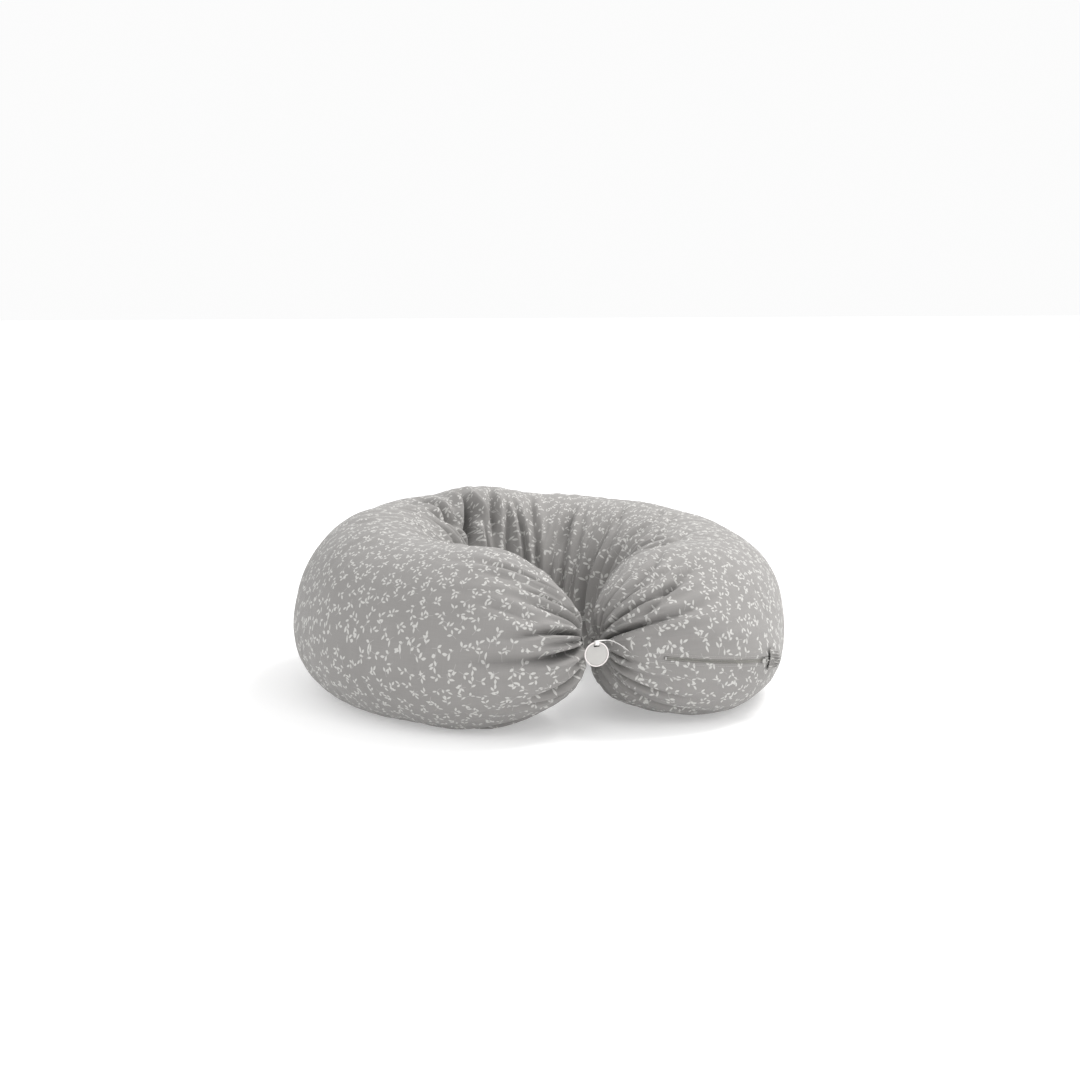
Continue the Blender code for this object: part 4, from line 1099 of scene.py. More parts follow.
def measure_along(angles):
    """The cloth's measure along the tube, with the part that the inner buckles hide."""
    hidden = smooth_step(1.9, 2.7, angles % (2 * math.pi)) * (1 - smooth_step(3.8, 4.4, angles % (2 * math.pi)))
    edges = np.concatenate([[0.0], buckle_places, [TOTAL]])
    index = np.clip(np.searchsorted(edges, places) - 1, 0, len(edges) - 2)
    middle = (edges[index] + edges[index + 1]) / 2
    at_middle = np.interp(middle, places, outer_run)
    inner_rate = np.interp(places, places, inner_run) - np.interp(middle, places, inner_run)
    folded = (at_middle + inner_rate)[:, None]
    return outer_run[:, None] * (1 - hidden) + folded * hidden


def both_ends(angles):
    shown = np.clip(swell_at(places), 0.03, 1.0)
    right = measure_round(angles, right_lobes, shown)
    left = measure_round(angles, left_lobes, shown)
    return np.where((places < TOTAL / 2)[:, None], right, left)


cut_low = -math.pi / 2
start_angles = (turns - cut_low) % (2 * math.pi) + cut_low
steps_round = np.diff(np.concatenate([turns, turns[:, :1] + 2 * math.pi], axis=1), axis=1)
end_angles = start_angles + steps_round
v_start, v_end = both_ends(start_angles), both_ends(end_angles)
u_start, u_end = measure_along(start_angles), measure_along(end_angles)
print("flat cloth", round(float(outer_run[-1]), 3), "by", round(CLOTH_ROUND, 3), "m")

# %% [markdown]
# ## From grid to cloth
#
# A cloth piece has a face and a back, so the grid is made twice, the second time one wall deeper, and the two are
# joined round the gathered ends and round the zip's slot. Nothing is left open or loose.

# %% Cloth from a grid


def border_edges(quads):
    """The edges that only one quad uses, each in that quad's own direction."""
    seen = {}
    for quad in quads:
        corners = quad[2:]
        for a, b in zip(corners, corners[1:] + corners[:1]):
            seen[(a, b)] = True
    return [(a, b) for a, b in seen if (b, a) not in seen]


def set_measure(obj, measures):
    """Store the cloth's measure, one pair for each corner of each face, in the UV map that the weave reads."""
    layer = obj.data.uv_layers.new(name="cloth")
    layer.data.foreach_set("uv", np.array(measures, np.float32).ravel())


def add_cloth(name, points, wall, material, wrap=True, skip=(), measure=None, inward=None):
    """A cloth of real thickness from a grid of points. measure(i, j, side) gives the flat place of a corner."""
    rows, columns = points.shape[:2]
    depth = -grid_normals(points) if inward is None else inward
    quads = grid_quads(rows, columns, wrap, skip)
    count = rows * columns
    both = np.concatenate([points.reshape(-1, 3), (points + depth * wall).reshape(-1, 3)])
    faces, flat = [], []
    for i, j, a, b, c, d in quads:
        corners = [measure(i, j, 0), measure(i, j, 1), measure(i + 1, j, 1), measure(i + 1, j, 0)]
        faces.append((d, c, b, a))
        flat += corners[::-1]
        faces.append((a + count, b + count, c + count, d + count))
        flat += corners
    for a, b in border_edges(quads):
        faces.append((a, b, b + count, a + count))
        edge_a = measure(a // columns, a % columns, 0)
        edge_b = measure(b // columns, b % columns, 0)
        flat += [edge_a, edge_b, edge_b, edge_a]
    obj = add_mesh(name, both, faces, material)
    set_measure(obj, flat)
    return obj


slot_rows = [i for i in range(len(places) - 1) if not np.isnan(on_arc[i]) and not np.isnan(on_arc[i + 1])
             and on_arc[i] >= SLOT_START - 1e-6 and on_arc[i + 1] <= SLOT_END + 1e-6]
slot_faces = {(i, j) for i in slot_rows for j in SLOT_COLUMNS}


def cover_measure(i, j, side):
    return (u_end[i, j], v_end[i, j]) if side else (u_start[i, j], v_start[i, j])


cover = add_cloth("cover", folded_skin, COVER_WALL, printed_cotton, skip=slot_faces, measure=cover_measure)
# store the painted fold shade on the cover, for its material to darken the cloth by
fold_shade_layer = cover.data.attributes.new("fold_depth", "FLOAT", "POINT")
fold_shade_layer.data.foreach_set("value", np.tile(fold_depth.ravel(), 2).astype(np.float32))
print("cover has", len(cover.data.polygons), "faces, slot of", len(slot_rows), "rings")

# %% [markdown]
# ## A weight round the ring
#
# The ring opens at its back, and the cloth there belongs to neither arm. The usual blend weighs each point by its
# place on a straight line, but the two gathered ends lie side by side, near the same line, and each has to stay with
# its own arm. So a weight is worked out by the place round the ring; it is not written onto the cloth.

# %% A weight round the ring
BEND_START, BEND_END = math.radians(100), math.radians(260)


def bend_with_ring(obj, along_of_points):
    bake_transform(obj)
    share = smooth_step(BEND_START, BEND_END, ring_angle(np.asarray(along_of_points)))


along_both_sides = np.concatenate([ALONG.ravel(), ALONG.ravel()])
bend_with_ring(cover, along_both_sides)
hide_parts("cover_left", "cover_right")
print("cover bends over", round(math.degrees(BEND_END - BEND_START)), "degrees of the ring")

# %% [markdown]
# ## The casing and its beads
#
# Under the cover lies a plain cotton casing, tied shut at both ends, and in it the beads. Both follow the cover's
# valleys a few millimetres deeper, so that the cover can slide over them. In the steepest folds that is not
# enough: some of their points reach through the cover, by up to 10 mm, and a few show from outside as pale specks.

# %% Layers under the cover
CASING_SETBACK, CASING_HOLE = 0.0110, 0.0050
INNER_CLEARANCE, FILL_CLEARANCE = 0.0055, 0.0022
INNER_ROWS, INNER_COLUMNS = 3, 2      # every so many of the cover's rings and columns
DEEPEST_LAYER = 0.055


def widest_near(field, reach):
    """The greatest value within a few rings and columns."""
    widest = field.copy()
    for shift in range(-reach, reach + 1):
        widest = np.maximum(widest, np.roll(field, shift, axis=1))
    field = widest.copy()
    for shift in range(1, reach + 1):
        widest[shift:] = np.maximum(widest[shift:], field[:-shift])
        widest[:-shift] = np.maximum(widest[:-shift], field[shift:])
    return widest


def inner_layer(extra):
    """A grid for a layer under the cover, this much deeper than the cover's own folds."""
    sunk = ((smooth_skin - folded_skin) * normals).sum(axis=-1)
    depth = widest_near(np.maximum(sunk, 0.0), 3) + INNER_CLEARANCE + extra
    ease = 1 - CASING_SETBACK / ZIP_ZONE_START
    inward = np.maximum(from_end(ALONG), CASING_SETBACK + from_end(ALONG) * ease)
    along = np.where(ALONG < TOTAL / 2, inward, TOTAL - inward)
    depth = np.minimum(depth, DEEPEST_LAYER)
    points = skin(along, turns, depth, CASING_SETBACK + extra, CASING_HOLE)
    return points[::INNER_ROWS, ::INNER_COLUMNS], along[::INNER_ROWS, ::INNER_COLUMNS]


def flat_measure(points):
    rows, columns = points.shape[:2]
    run = np.concatenate([[0.0], np.cumsum(np.linalg.norm(np.diff(points[:, 0], axis=0), axis=1))])
    width = CLOTH_ROUND / columns
    return lambda i, j, side: (run[i], (j + side) * width)


def add_solid(name, points, material, measure):
    """A closed solid from a tube-shaped grid, with a cap at each end."""
    rows, columns = points.shape[:2]
    faces, flat = [], []
    for i, j, a, b, c, d in grid_quads(rows, columns, True):
        faces.append((d, c, b, a))
        flat += [measure(i + 1, j, 0), measure(i + 1, j, 1), measure(i, j, 1), measure(i, j, 0)]
    faces.append(tuple(range(columns)))
    faces.append(tuple(range((rows - 1) * columns, rows * columns))[::-1])
    flat += [measure(0, j, 0) for j in range(columns)]
    flat += [measure(rows - 1, j, 0) for j in reversed(range(columns))]
    obj = add_mesh(name, points.reshape(-1, 3), faces, material)
    set_measure(obj, flat)
    return obj


def bead_material():
    """Small foamed beads, packed close: rounded cells, painted darker towards their rims and in the gaps between
    them as painted shade.
    """
    shade = Shade("bead_filling")
    cells = shade.node("ShaderNodeTexVoronoi", {}, {"Vector": shade.place(), "Scale": 330.0})
    distance = cells.out("Distance")
    # painted shade: each bead is darker towards its rim and darkest in the gaps between beads
    tone = shade.mix((distance * 1.4).clamp(), rgb(246, 246, 244), rgb(196, 196, 192))
    shade.set(Base_Color=tone, Roughness=0.6, Normal=shade.bump(1 - distance, 0.9, 0.0012))
    return shade.material


print("cloth round the casing", round(CLOTH_ROUND, 3), "m")

# %% [markdown]
# ## Sewing the inner layers
#
# The casing is cloth with a face and a back, like the cover. The beads are one closed body inside it, with a
# surface of rounded cells. Both stand for the frame's own soft pieces.

# %% Casing and beads in place
casing_points, casing_along = inner_layer(0.0)
casing = add_cloth("casing", casing_points, CASING_WALL, casing_cotton, measure=flat_measure(casing_points))
bend_with_ring(casing, np.concatenate([casing_along.ravel()] * 2))
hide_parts("casing_left", "casing_right")
fill_points, fill_along = inner_layer(FILL_CLEARANCE)
filling = add_solid("bead_filling", fill_points, bead_material(), flat_measure(fill_points))
bend_with_ring(filling, fill_along.ravel())
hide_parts("filling_left", "filling_right")
print("inner layers", len(casing.data.polygons), "and", len(filling.data.polygons), "faces")

# %% [markdown]
# ## The knots at the ends
#
# Each end of the cover is drawn up on a thread until only a small tuft of pleated cloth stands out. It is a turned
# shape whose rings are scalloped more and more towards its rim. The casing inside has a plainer knot of its own.

# %% Gathered tufts
TUFT_RADIUS, TUFT_THICKNESS, TUFT_NECK_LENGTH = 0.0095, 0.0032, 0.0050
TUFT_PLEATS = 13
THREAD_RADIUS = 0.0006
TIE_RADIUS, TIE_THICKNESS = 0.0070, 0.0024


def end_matrix(at_right, inward):
    """A frame at a gathered end: its Z runs out of the end."""
    along = 0.0 if at_right else TOTAL
    point, ahead, outward = ring_frame(along)
    into = Vector((*(ahead if at_right else -ahead), 0.0))
    middle = float(tube_height(along) - FLOOR_SINK) / 2
    x_axis, z_axis = Vector((*outward, 0.0)), -into
    matrix = Matrix((x_axis, z_axis.cross(x_axis), z_axis)).transposed().to_4x4()
    matrix.translation = Vector((*point, middle)) + into * inward
    return matrix


def turned_grid(profile, columns, pleats, depths, matrix, lean=0.0):
    """Rings of points for a turned, pleated shape. depths gives the pleat depth of each ring."""
    grid = []
    for (radius, height), depth in zip(profile, depths):
        ring = []
        for j in range(columns):
            angle = 2 * math.pi * j / columns
            fold = abs(math.sin(pleats * angle / 2 + 0.7 * math.sin(3 * angle))) ** 0.8
            reach = radius * (1 - depth * (1 - fold))
            lift = height + lean * depth * math.cos(pleats * angle)
            ring.append(matrix @ Vector((reach * math.cos(angle), reach * math.sin(angle), lift)))
        grid.append(ring)
    return np.array(grid)


def add_tuft(word, at_right, body):
    neck = END_HOLE - TOUCH_GAP - COVER_WALL / 2
    rim = TOUCH_GAP + TUFT_THICKNESS
    stops = [(neck * 0.8, -TUFT_NECK_LENGTH), (neck, -0.0030), (neck * 0.96, 0.0), (neck * 1.15, 0.0007),
             (TUFT_RADIUS * 0.9, 0.0012), (TUFT_RADIUS, 0.0022), (TUFT_RADIUS * 0.82, rim * 0.92),
             (neck * 0.85, rim * 0.70), (neck * 0.35, rim * 0.50), (0.0004, rim * 0.42)]
    profile = round_line(stops, 4)
    depths = np.clip((profile[:, 0] - neck * 0.3) / TUFT_RADIUS, 0.02, 1.0) * 0.30
    grid = turned_grid(profile, 104, TUFT_PLEATS, depths, end_matrix(at_right, 0.0), 0.0012)
    tuft = add_solid(f"{word}_tuft", grid, printed_cotton, lambda i, j, side: (i * 0.0008, (j + side) * 0.0011))
    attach(tuft, body)
    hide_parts(f"{word}_gather_tuft")
    return tuft


print("tuft", round(2 * TUFT_RADIUS * 1000), "mm across with", TUFT_PLEATS, "pleats")

# %% [markdown]
# ## Strands
#
# Threads, coils and stitches are all strands: a line swept by a small circle that doesn't twist on its way.
# `add_strand` makes one closed piece from any number of such lines.

# %% Strands


def tube_along(points, radius, sides, closed=False):
    """A grid of rings round a line, each ring square to the line, without twist."""
    points = np.asarray(points, float)
    ahead = (np.roll(points, -1, axis=0) - np.roll(points, 1, axis=0)) if closed else np.gradient(points, axis=0)
    ahead /= np.linalg.norm(ahead, axis=1, keepdims=True)
    across = np.cross(ahead[0], [0.31, 0.22, 0.93])
    grid = []
    for point, forward in zip(points, ahead):
        across = across - forward * (across @ forward)
        across /= np.linalg.norm(across)
        up = np.cross(forward, across)
        angles = 2 * math.pi * np.arange(sides) / sides
        grid.append(point + radius * (np.cos(angles)[:, None] * across + np.sin(angles)[:, None] * up))
    return np.array(grid)


def add_strand(name, lines, radius, sides, material, closed=False):
    """One piece from several lines, each a round strand."""
    points, faces = [], []
    for line in lines:
        grid = tube_along(line, radius, sides, closed)
        start, rows = len(points), len(grid)
        points += list(grid.reshape(-1, 3))
        for i in range(rows if closed else rows - 1):
            for j in range(sides):
                k, after = (j + 1) % sides, (i + 1) % rows
                faces.append((start + i * sides + j, start + i * sides + k, start + after * sides + k,
                              start + after * sides + j))
        if not closed:
            faces.append(tuple(start + j for j in range(sides))[::-1])
            faces.append(tuple(start + (rows - 1) * sides + j for j in range(sides)))
    return add_mesh(name, points, faces, material)


print("strand helpers ready")

# %% [markdown]
# ## Tufts, drawstrings and casing knots
#
# The drawstring is two plies laid round each other in a ring at the neck of the tuft. A tuft, a drawstring and a
# casing knot sit on the same middle line at each end, so one loop places all three, twice.

# %% Tufts, threads and knots in place


def thread_material():
    """Spun polyester: a slanting twist along the thread."""
    shade = Shade("gather_thread")
    twist = shade.node("ShaderNodeTexNoise", {}, {"Vector": shade.place(), "Scale": 1800.0, "Detail": 2.0})
    tone = shade.mix(twist, rgb(148, 147, 143), rgb(176, 174, 170))
    shade.set(Base_Color=tone, Roughness=0.7, Sheen_Weight=0.3, Normal=shade.bump(twist, 0.5, 0.0002))
    return shade.material


def ring_lines(matrix, major, plies, twist_radius, twists):
    lines = []
    for ply in range(plies):
        line = []
        for angle in np.linspace(0, 2 * math.pi, 97)[:-1]:
            turn = twists * angle + 2 * math.pi * ply / plies
            radius = major + twist_radius * math.cos(turn)
            line.append(matrix @ Vector((radius * math.cos(angle), radius * math.sin(angle),
                                         twist_radius * math.sin(turn))))
        lines.append(line)
    return lines


gather_thread = thread_material()
for word, at_right, body in (("right", True, "right_half"), ("left", False, "left_half")):
    add_tuft(word, at_right, body)
    neck = END_HOLE - COVER_WALL / 2 + THREAD_RADIUS
    lines = ring_lines(end_matrix(at_right, COVER_WALL + TOUCH_GAP + THREAD_RADIUS), neck, 2, 0.0003, 22)
    drawstring = add_strand(f"{word}_thread", lines, 0.00032, 8, gather_thread, True)
    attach(drawstring, body)
    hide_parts(f"{word}_gather_thread")
    knot = round_line([(TIE_RADIUS * 0.5, -0.0004), (TIE_RADIUS * 0.95, 0.0002), (TIE_RADIUS, 0.0012),
                       (TIE_RADIUS * 0.85, 0.0021), (TIE_RADIUS * 0.4, TIE_THICKNESS * 0.8)], 4)
    matrix = end_matrix(at_right, CASING_SETBACK - TOUCH_GAP - 0.0004)
    grid = turned_grid(knot, 72, 11, np.full(len(knot), 0.18), matrix)
    tie = add_solid(f"{word}_casing_knot", grid, casing_cotton, lambda i, j, side: (i * 0.0006, (j + side) * 0.0006))
    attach(tie, body)
    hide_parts(f"casing_{word}_tie")
print("two tufts, two threads, two casing knots")

# %% [markdown]
# ## The zip
#
# A coil zip has no separate teeth: each side is one stiff plastic thread wound into a flat spring and sewn onto its
# tape, and the two springs lock turn between turn. Each coil is a swept line, half a turn apart from the other. The
# tapes keep the frame's shape and get a herringbone weave.

# %% Coils and tapes
COIL_PITCH, COIL_STRAND = 0.00135, 0.00024
COIL_START = SLOT_START + STOP_LENGTH + 2 * TOUCH_GAP
COIL_END = SLOT_END - STOP_LENGTH - 2 * TOUCH_GAP


def plastic(name, colour, roughness, rough_scale=900.0, coat=0.0, alpha=1.0, transmission=0.0):
    """Moulded plastic: a faint mottle and an almost smooth skin."""
    shade = Shade(name)
    mottle = shade.noise(shade.place(), rough_scale, 3.0)
    dark = tuple(c * 0.93 for c in colour[:3]) + (1.0,)
    shade.set(Base_Color=shade.mix(mottle, dark, colour), Roughness=roughness, Coat_Weight=coat, Alpha=alpha,
              Transmission_Weight=transmission, Normal=shade.bump(mottle, 0.12, 0.0002))
    return shade.material


def herringbone(name, colour):
    """Zip tape: slanting ribs that turn back every few millimetres."""
    shade = Shade(name)
    parts = shade.node("ShaderNodeSeparateXYZ", {}, {0: shade.place()})
    x, z = parts, parts.out("Z")
    side_to_side = ((x * 260.0).math("PINGPONG", 1.0) * 2.2 + z * 5200.0)
    ribs = shade.wave(side_to_side) * 0.5 + 0.5
    tone = shade.mix(ribs, tuple(c * 0.8 for c in colour[:3]) + (1.0,), colour)
    shade.set(Base_Color=tone, Roughness=0.85, Sheen_Weight=0.2, Normal=shade.bump(ribs, 0.5, 0.0002))
    return shade.material


def coil_line(side, phase):
    """One coil: a flattened helix along the zip's arc."""
    middle_up = CHAIN_GAP + COIL_WIDTH / 2
    middle_out = -COVER_WALL + COIL_THICKNESS / 2
    half_up = COIL_WIDTH / 2 - COIL_STRAND + CHAIN_GAP
    half_out = COIL_THICKNESS / 2 - COIL_STRAND
    rounds = int((COIL_END - COIL_START) / COIL_PITCH) - 1
    line = []
    for step in range(rounds * 12 + 1):
        turn = 2 * math.pi * step / 12 + phase
        along = COIL_START + COIL_PITCH * (0.5 + step / 12)
        up = side * (middle_up - CHAIN_GAP / 2 + half_up * signed_power(math.cos(turn), 0.7))
        out = middle_out + half_out * signed_power(math.sin(turn), 0.7)
        line.append(arc.point(along, out, up))
    return line


coil_plastic = plastic("zip_coil_plastic", rgb(172, 170, 165), 0.42)
for word, side, phase in (("upper", 1, 0.0), ("lower", -1, 0.0)):
    coil = add_strand(f"{word}_coil", [coil_line(side, phase)], COIL_STRAND, 6, coil_plastic)
    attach(coil, "right_half")
    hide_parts(f"zip_coil_{word}")
tape_cloth = herringbone("zip_tape_cloth", rgb(160, 158, 153))
for node in ("zip_tape_upper", "zip_tape_lower"):
    frame["nodes"][node].data.materials.clear()
    frame["nodes"][node].data.materials.append(tape_cloth)
print("coils of", int((COIL_END - COIL_START) / COIL_PITCH) - 1, "turns")

# %% [markdown]
# ## Slider, pull and stops
#
# These are small castings in plated zinc. The frame's own pieces have the right shape with sharp edges, so each is
# copied and its edges are rounded over, which is what catches the light on a real casting.

# %% Slider, pull and stops


def brushed_metal(name, colour):
    """Plated zinc: fine brushing, and a little duller where it varies."""
    shade = Shade(name)
    grain = shade.noise(shade.place(), 2600.0, 3.0)
    worn = shade.noise(shade.place(), 240.0, 2.0)
    tone = shade.mix(worn, colour, tuple(c * 0.8 for c in colour[:3]) + (1.0,))
    shade.set(Base_Color=tone, Metallic=1.0, Roughness=worn * 0.25 + 0.24, Normal=shade.bump(grain, 0.15, 0.0001))
    return shade.material


def rounded_copy(node, name, width, material, body):
    """The frame's piece with its edges rounded over, in place of the sharp one."""
    obj = bpy.data.objects.new(name, frame["nodes"][node].data.copy())
    bpy.context.scene.collection.objects.link(obj)
    obj.data.materials.clear()
    obj.data.materials.append(material)
    work = bmesh.new()
    work.from_mesh(obj.data)
    bmesh.ops.remove_doubles(work, verts=work.verts, dist=1e-6)
    bmesh.ops.dissolve_limit(work, angle_limit=math.radians(2), verts=work.verts, edges=work.edges)
    sharp = [e for e in work.edges if e.is_manifold and e.calc_face_angle(0.0) > math.radians(28)]
    bmesh.ops.bevel(work, geom=sharp, offset=width, segments=2, profile=0.5, affect="EDGES", clamp_overlap=True)
    work.to_mesh(obj.data)
    work.free()
    obj.data.shade_smooth()
    obj.data.set_sharp_from_angle(angle=math.radians(35))
    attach(obj, body)
    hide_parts(node)
    return obj


zip_metal = brushed_metal("zip_metal", rgb(176, 175, 172))
rounded_copy("zip_slider", "slider_body", 0.00022, zip_metal, "slider")
rounded_copy("zip_pull", "pull_tab", 0.00018, zip_metal, "pull")
for node in ("zip_bottom_stop", "zip_top_stop_upper", "zip_top_stop_lower"):
    rounded_copy(node, node.replace("zip_", "") + "_clip", 0.00025, zip_metal, "right_half")
print("metal parts rounded")

# %% [markdown]
# ## Stitching beside the zip
#
# The cover is folded under along the slot and sewn to the tape with one row of stitches on each side. Each stitch
# is a short strand that dips into the cloth at both of its ends.

# %% Topstitching
STITCH_PITCH, STITCH_LENGTH, STITCH_UP, STITCH_RADIUS = 0.0030, 0.0023, 0.0058, 0.00024


def stitch_line(along, up):
    """One stitch: seven points that rise out of the cloth and go back in."""
    line = []
    for t in np.linspace(0.0, 1.0, 7):
        out = 0.00028 * math.sin(math.pi * t) - 0.00010
        line.append(arc.point(along + STITCH_LENGTH * t, out, up))
    return line


stitch_lines = []
for side in (-1, 1):
    for along in np.arange(SLOT_START - 0.004, SLOT_END + 0.002, STITCH_PITCH):
        stitch_lines.append(stitch_line(along, side * STITCH_UP))
stitching = add_strand("zip_stitching", stitch_lines, STITCH_RADIUS, 6, gather_thread)
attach(stitching, "right_half")
print(len(stitch_lines), "stitches")

# %% [markdown]
# ## The hood over the zip's end
#
# The closed slider parks against a small hood, so that a child can't reach the pull. It is a scrap of the cover's
# cloth, gathered along its far edges and left open towards the slider, where a narrow hem finishes it.

# %% Hood
HOOD_WALL = 0.0012
HOOD_HEM = 0.0011
HOOD_MOUTH, HOOD_CREST = 0.32, 0.42       # how high the mouth stands, as a share, and where the hood is highest


def hood_point(run, share):
    """A point of the hood: run from its mouth to its closed end, share from its lower to its upper edge."""
    opening = HOOD_MOUTH + (1 - HOOD_MOUTH) * math.sin(min(run / HOOD_CREST, 1.0) * math.pi / 2)
    closing = math.sqrt(max(1 - max((run - HOOD_CREST) / (1 - HOOD_CREST), 0.0) ** 2, 0.0))
    arch = opening * closing
    width = HOOD_HALF_WIDTH * (1 - 0.42 * run ** 2.6)
    bulge = (1 - abs(share) ** 2.3) ** 0.62
    gather = math.sin(7.5 * math.pi * share + 1.3 * run) * (0.13 + 0.14 * run)
    cross = math.sin(6 * math.pi * run + 4 * share) * 0.10
    rise = HOOD_HEIGHT * arch * bulge * (1 + gather + cross)
    edge = 0.0006 * math.sin(15 * run + 4 * share) * abs(share) ** 6
    return arc.point(HOOD_START + HOOD_LENGTH * run, TOUCH_GAP + rise, width * share * 0.98 + edge)


hood_grid = np.array([[hood_point(run, share) for share in np.linspace(-1, 1, 61)] for run in np.linspace(0, 1, 37)])
hood_inward = np.array([[-np.array(arc.radial(HOOD_START + HOOD_LENGTH * run)) for _ in range(61)]
                        for run in np.linspace(0, 1, 37)]) * 0.2
hood = add_cloth("hood", hood_grid, HOOD_WALL, printed_cotton, wrap=False,
                 measure=lambda i, j, side: (0.31 + i * 0.0011, (j + side) * 0.0009), inward=hood_inward)
hem_line = [Vector(p) + arc.radial(HOOD_START) * 0.0002 for p in hood_grid[0, 1:-1]]
hem = add_strand("hood_hem", [hem_line], HOOD_HEM * 0.6, 8, printed_cotton)
hem.data.uv_layers.new(name="cloth")
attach(hood, "right_half")
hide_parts("zip_garage")
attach(hem, "right_half")
print("hood", hood_grid.shape)

# %% [markdown]
# ## The hang tag and its ribbon
#
# A clear plastic disc in a pale rim hangs between the two ends on a bit of white satin ribbon. The ribbon is sewn
# to the right end of the cover, runs over the tag's bar and turns back through its slot. The rim is turned from a
# rounded profile. The ribbon is a smooth line given a width, and it turns over as it goes.

# %% Tag
TAG_RADIUS, TAG_RIM_WIDTH, TAG_RIM_THICKNESS, TAG_BAR_HEIGHT = 0.0155, 0.0016, 0.0018, 0.0034
tag_low, tag_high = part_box("tag_rim")
TAG_CENTRE = (tag_low + tag_high) / 2


def add_tag_rim():
    """A rounded rim with a shallow inner step."""
    half = TAG_RIM_THICKNESS / 2
    inner = TAG_RADIUS - TAG_RIM_WIDTH
    stops = [(inner, 0.0), (inner, half * 0.7), (inner + 0.0003, half), (TAG_RADIUS - 0.0005, half),
             (TAG_RADIUS - 0.0001, half * 0.6), (TAG_RADIUS, 0.0), (TAG_RADIUS - 0.0001, -half * 0.6),
             (TAG_RADIUS - 0.0005, -half), (inner + 0.0003, -half), (inner, -half * 0.7)]
    points, faces = [], []
    sides, columns = len(stops), 96
    for j in range(columns):
        angle = 2 * math.pi * j / columns
        for radius, depth in stops:
            points.append(TAG_CENTRE + Vector((radius * math.cos(angle), depth, radius * math.sin(angle))))
    for j in range(columns):
        k = (j + 1) % columns
        for i in range(sides):
            after = (i + 1) % sides
            faces.append((j * sides + i, j * sides + after, k * sides + after, k * sides + i))
    return add_mesh("tag_ring", points, faces, plastic("tag_rim_plastic", rgb(238, 232, 230), 0.3, coat=0.3))


tag_ring = add_tag_rim()
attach(tag_ring, "tag")
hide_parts("tag_rim")
clear_plastic = plastic("tag_clear_plastic", rgb(205, 203, 200), 0.18, coat=0.4, alpha=0.72)
rounded_copy("tag_face", "tag_window", 0.00025, clear_plastic, "tag")
print("tag at", [round(v, 4) for v in TAG_CENTRE])

# %% [markdown]
# ## The ribbon
#
# The ribbon leaves its seam standing on edge and has to lie flat where it goes over the tag's bar. So two lines are
# smoothed together: the ribbon's middle, and the direction across it. Where the second turns, the ribbon twists.

# %% Ribbon
RIBBON_WIDTH, RIBBON_THICKNESS = 0.0050, 0.0005
RIBBON_BEND = math.hypot(TAG_BAR_HEIGHT, TAG_RIM_THICKNESS) / 2 + TOUCH_GAP


def ribbon_stops():
    """The ribbon's middle line and the direction across it, from its seam to its turned-back end."""
    bar = TAG_CENTRE + Vector((0, 0, TAG_RADIUS - TAG_BAR_HEIGHT / 2))
    bend = RIBBON_BEND + RIBBON_THICKNESS / 2
    _, _, outward = ring_frame(np.array(RIBBON_SEAT))
    seat_up, sideways = Vector((*outward, 0.0)), Vector((1, 0, 0))
    seat = Vector(skin(np.array([RIBBON_SEAT]), np.array([0.0]))[0])
    seat += seat_up * (TOUCH_GAP + RIBBON_WIDTH / 2)
    stops = [(seat, seat_up)]
    lead = bar + Vector((0.0060, 0.0030, bend + 0.0008))
    for i in range(1, 5):
        share = i / 5
        lift = Vector((0, -0.0010, 0.0040)) * math.sin(math.pi * share)
        stops.append((seat.lerp(lead, share) + lift, seat_up.lerp(sideways, share * share).normalized()))
    for i in range(7):
        angle = math.radians(70 + 33 * i)
        stops.append((bar + Vector((0, bend * math.cos(angle), bend * math.sin(angle))), sideways))
    stops.append((bar + Vector((0, bend + 0.0010, -bend * 0.75)), sideways))
    return stops


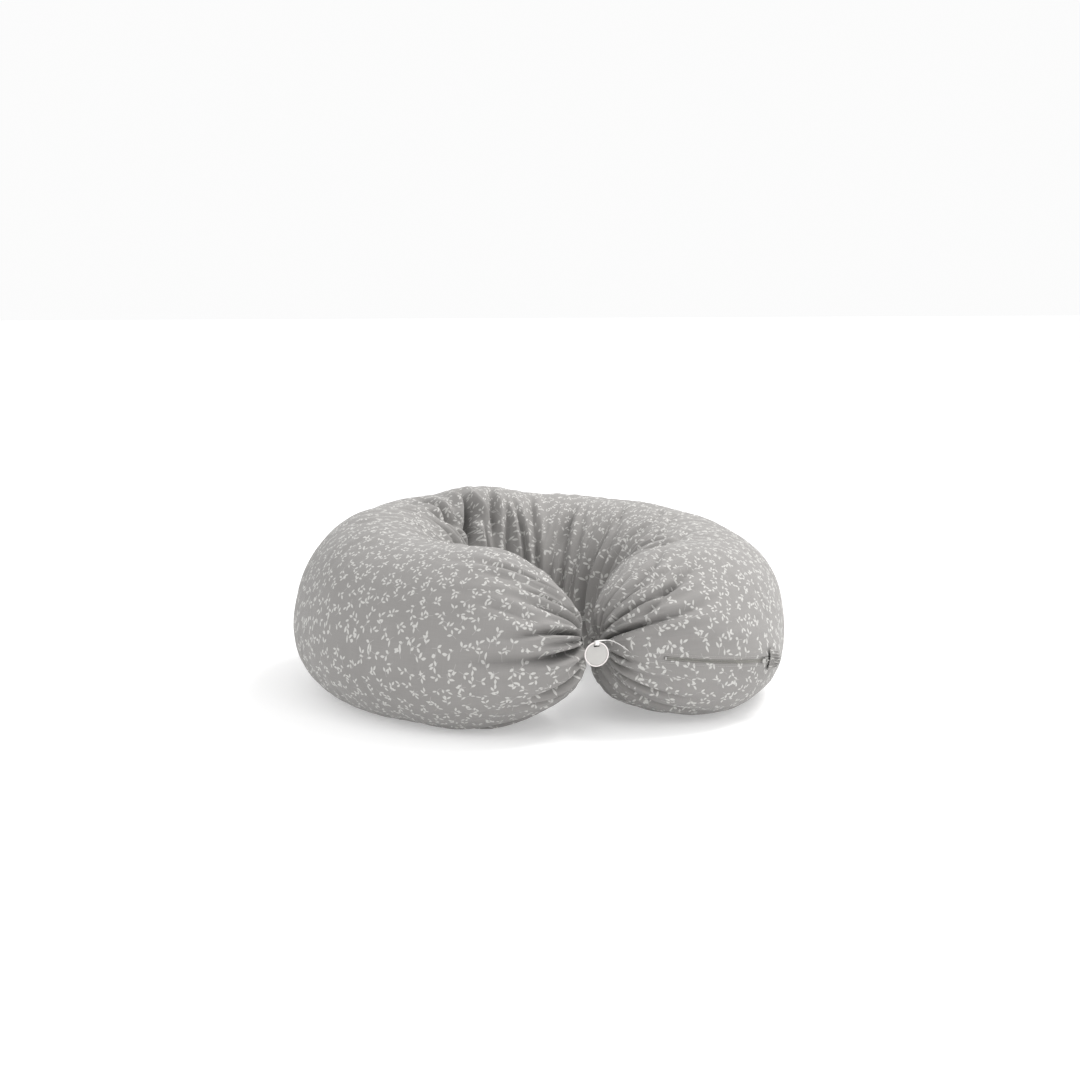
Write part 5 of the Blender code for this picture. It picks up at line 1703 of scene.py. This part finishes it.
def satin():
    """White satin: long threads along the ribbon, closely set, and a soft shine."""
    shade = Shade("white_ribbon")
    u, v = shade.split(shade.uv("cloth"))
    threads = shade.wave(v * (2 * math.pi / 0.00022)) * 0.5 + 0.5
    tone = shade.mix(threads, rgb(222, 220, 217), rgb(242, 240, 238))
    shade.set(Base_Color=tone, Roughness=0.38, Sheen_Weight=0.3, Normal=shade.bump(threads, 0.25, 0.0001))
    return shade.material


def add_ribbon():
    stops = ribbon_stops()
    line = round_line([p for p, _ in stops], 6)
    across = round_line([a for _, a in stops], 6)
    ahead = np.gradient(line, axis=0)
    grid = []
    for point, side, forward in zip(line, across, ahead):
        side = side - forward * (side @ forward) / (forward @ forward)
        side /= np.linalg.norm(side)
        thick = np.cross(forward, side)
        thick /= np.linalg.norm(thick)
        ring = [(u, -1) for u in np.linspace(-1, 1, 7)] + [(u, 1) for u in np.linspace(1, -1, 7)]
        grid.append([point + side * u * RIBBON_WIDTH / 2 + thick * v * RIBBON_THICKNESS / 2 for u, v in ring])
    return add_solid("satin_ribbon", np.array(grid), satin(), lambda i, j, side: (i * 0.0007, (j + side) * 0.0008))


ribbon = add_ribbon()
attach(ribbon, "right_half")
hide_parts("tag_ribbon")
print("ribbon made")

# %% [markdown]
# ## Floor
#
# A plain pale floor, just under the sole. It glows faintly, the way a studio floor lit from all round does, so that
# only the shade right beside the pillow stays grey.

# %% Floor
FLOOR_REACH, FLOOR_DROP, FLOOR_GLOW = 30, 0.0005, 0.30
floor_mesh = bpy.data.meshes.new("floor")
corners = [(x * FLOOR_REACH, y * FLOOR_REACH, 0) for x, y in ((-1, -1), (1, -1), (1, 1), (-1, 1))]
floor_mesh.from_pydata(corners, [], [(0, 1, 2, 3)])
floor = bpy.data.objects.new("floor", floor_mesh)
bpy.context.scene.collection.objects.link(floor)
floor.location.z = -FLOOR_DROP
floor_shade = Shade("floor_paint")
floor_tone = floor_shade.mix(floor_shade.noise(floor_shade.place(), 1.5), rgb(222, 222, 222), rgb(228, 228, 228))
floor_shade.set(Base_Color=floor_tone, Roughness=0.9, Specular_IOR_Level=0.1,
                Emission_Color=(1.0, 1.0, 1.0, 1.0), Emission_Strength=FLOOR_GLOW)
floor_mesh.materials.append(floor_shade.material)
print("floor", 2 * FLOOR_REACH, "m square")
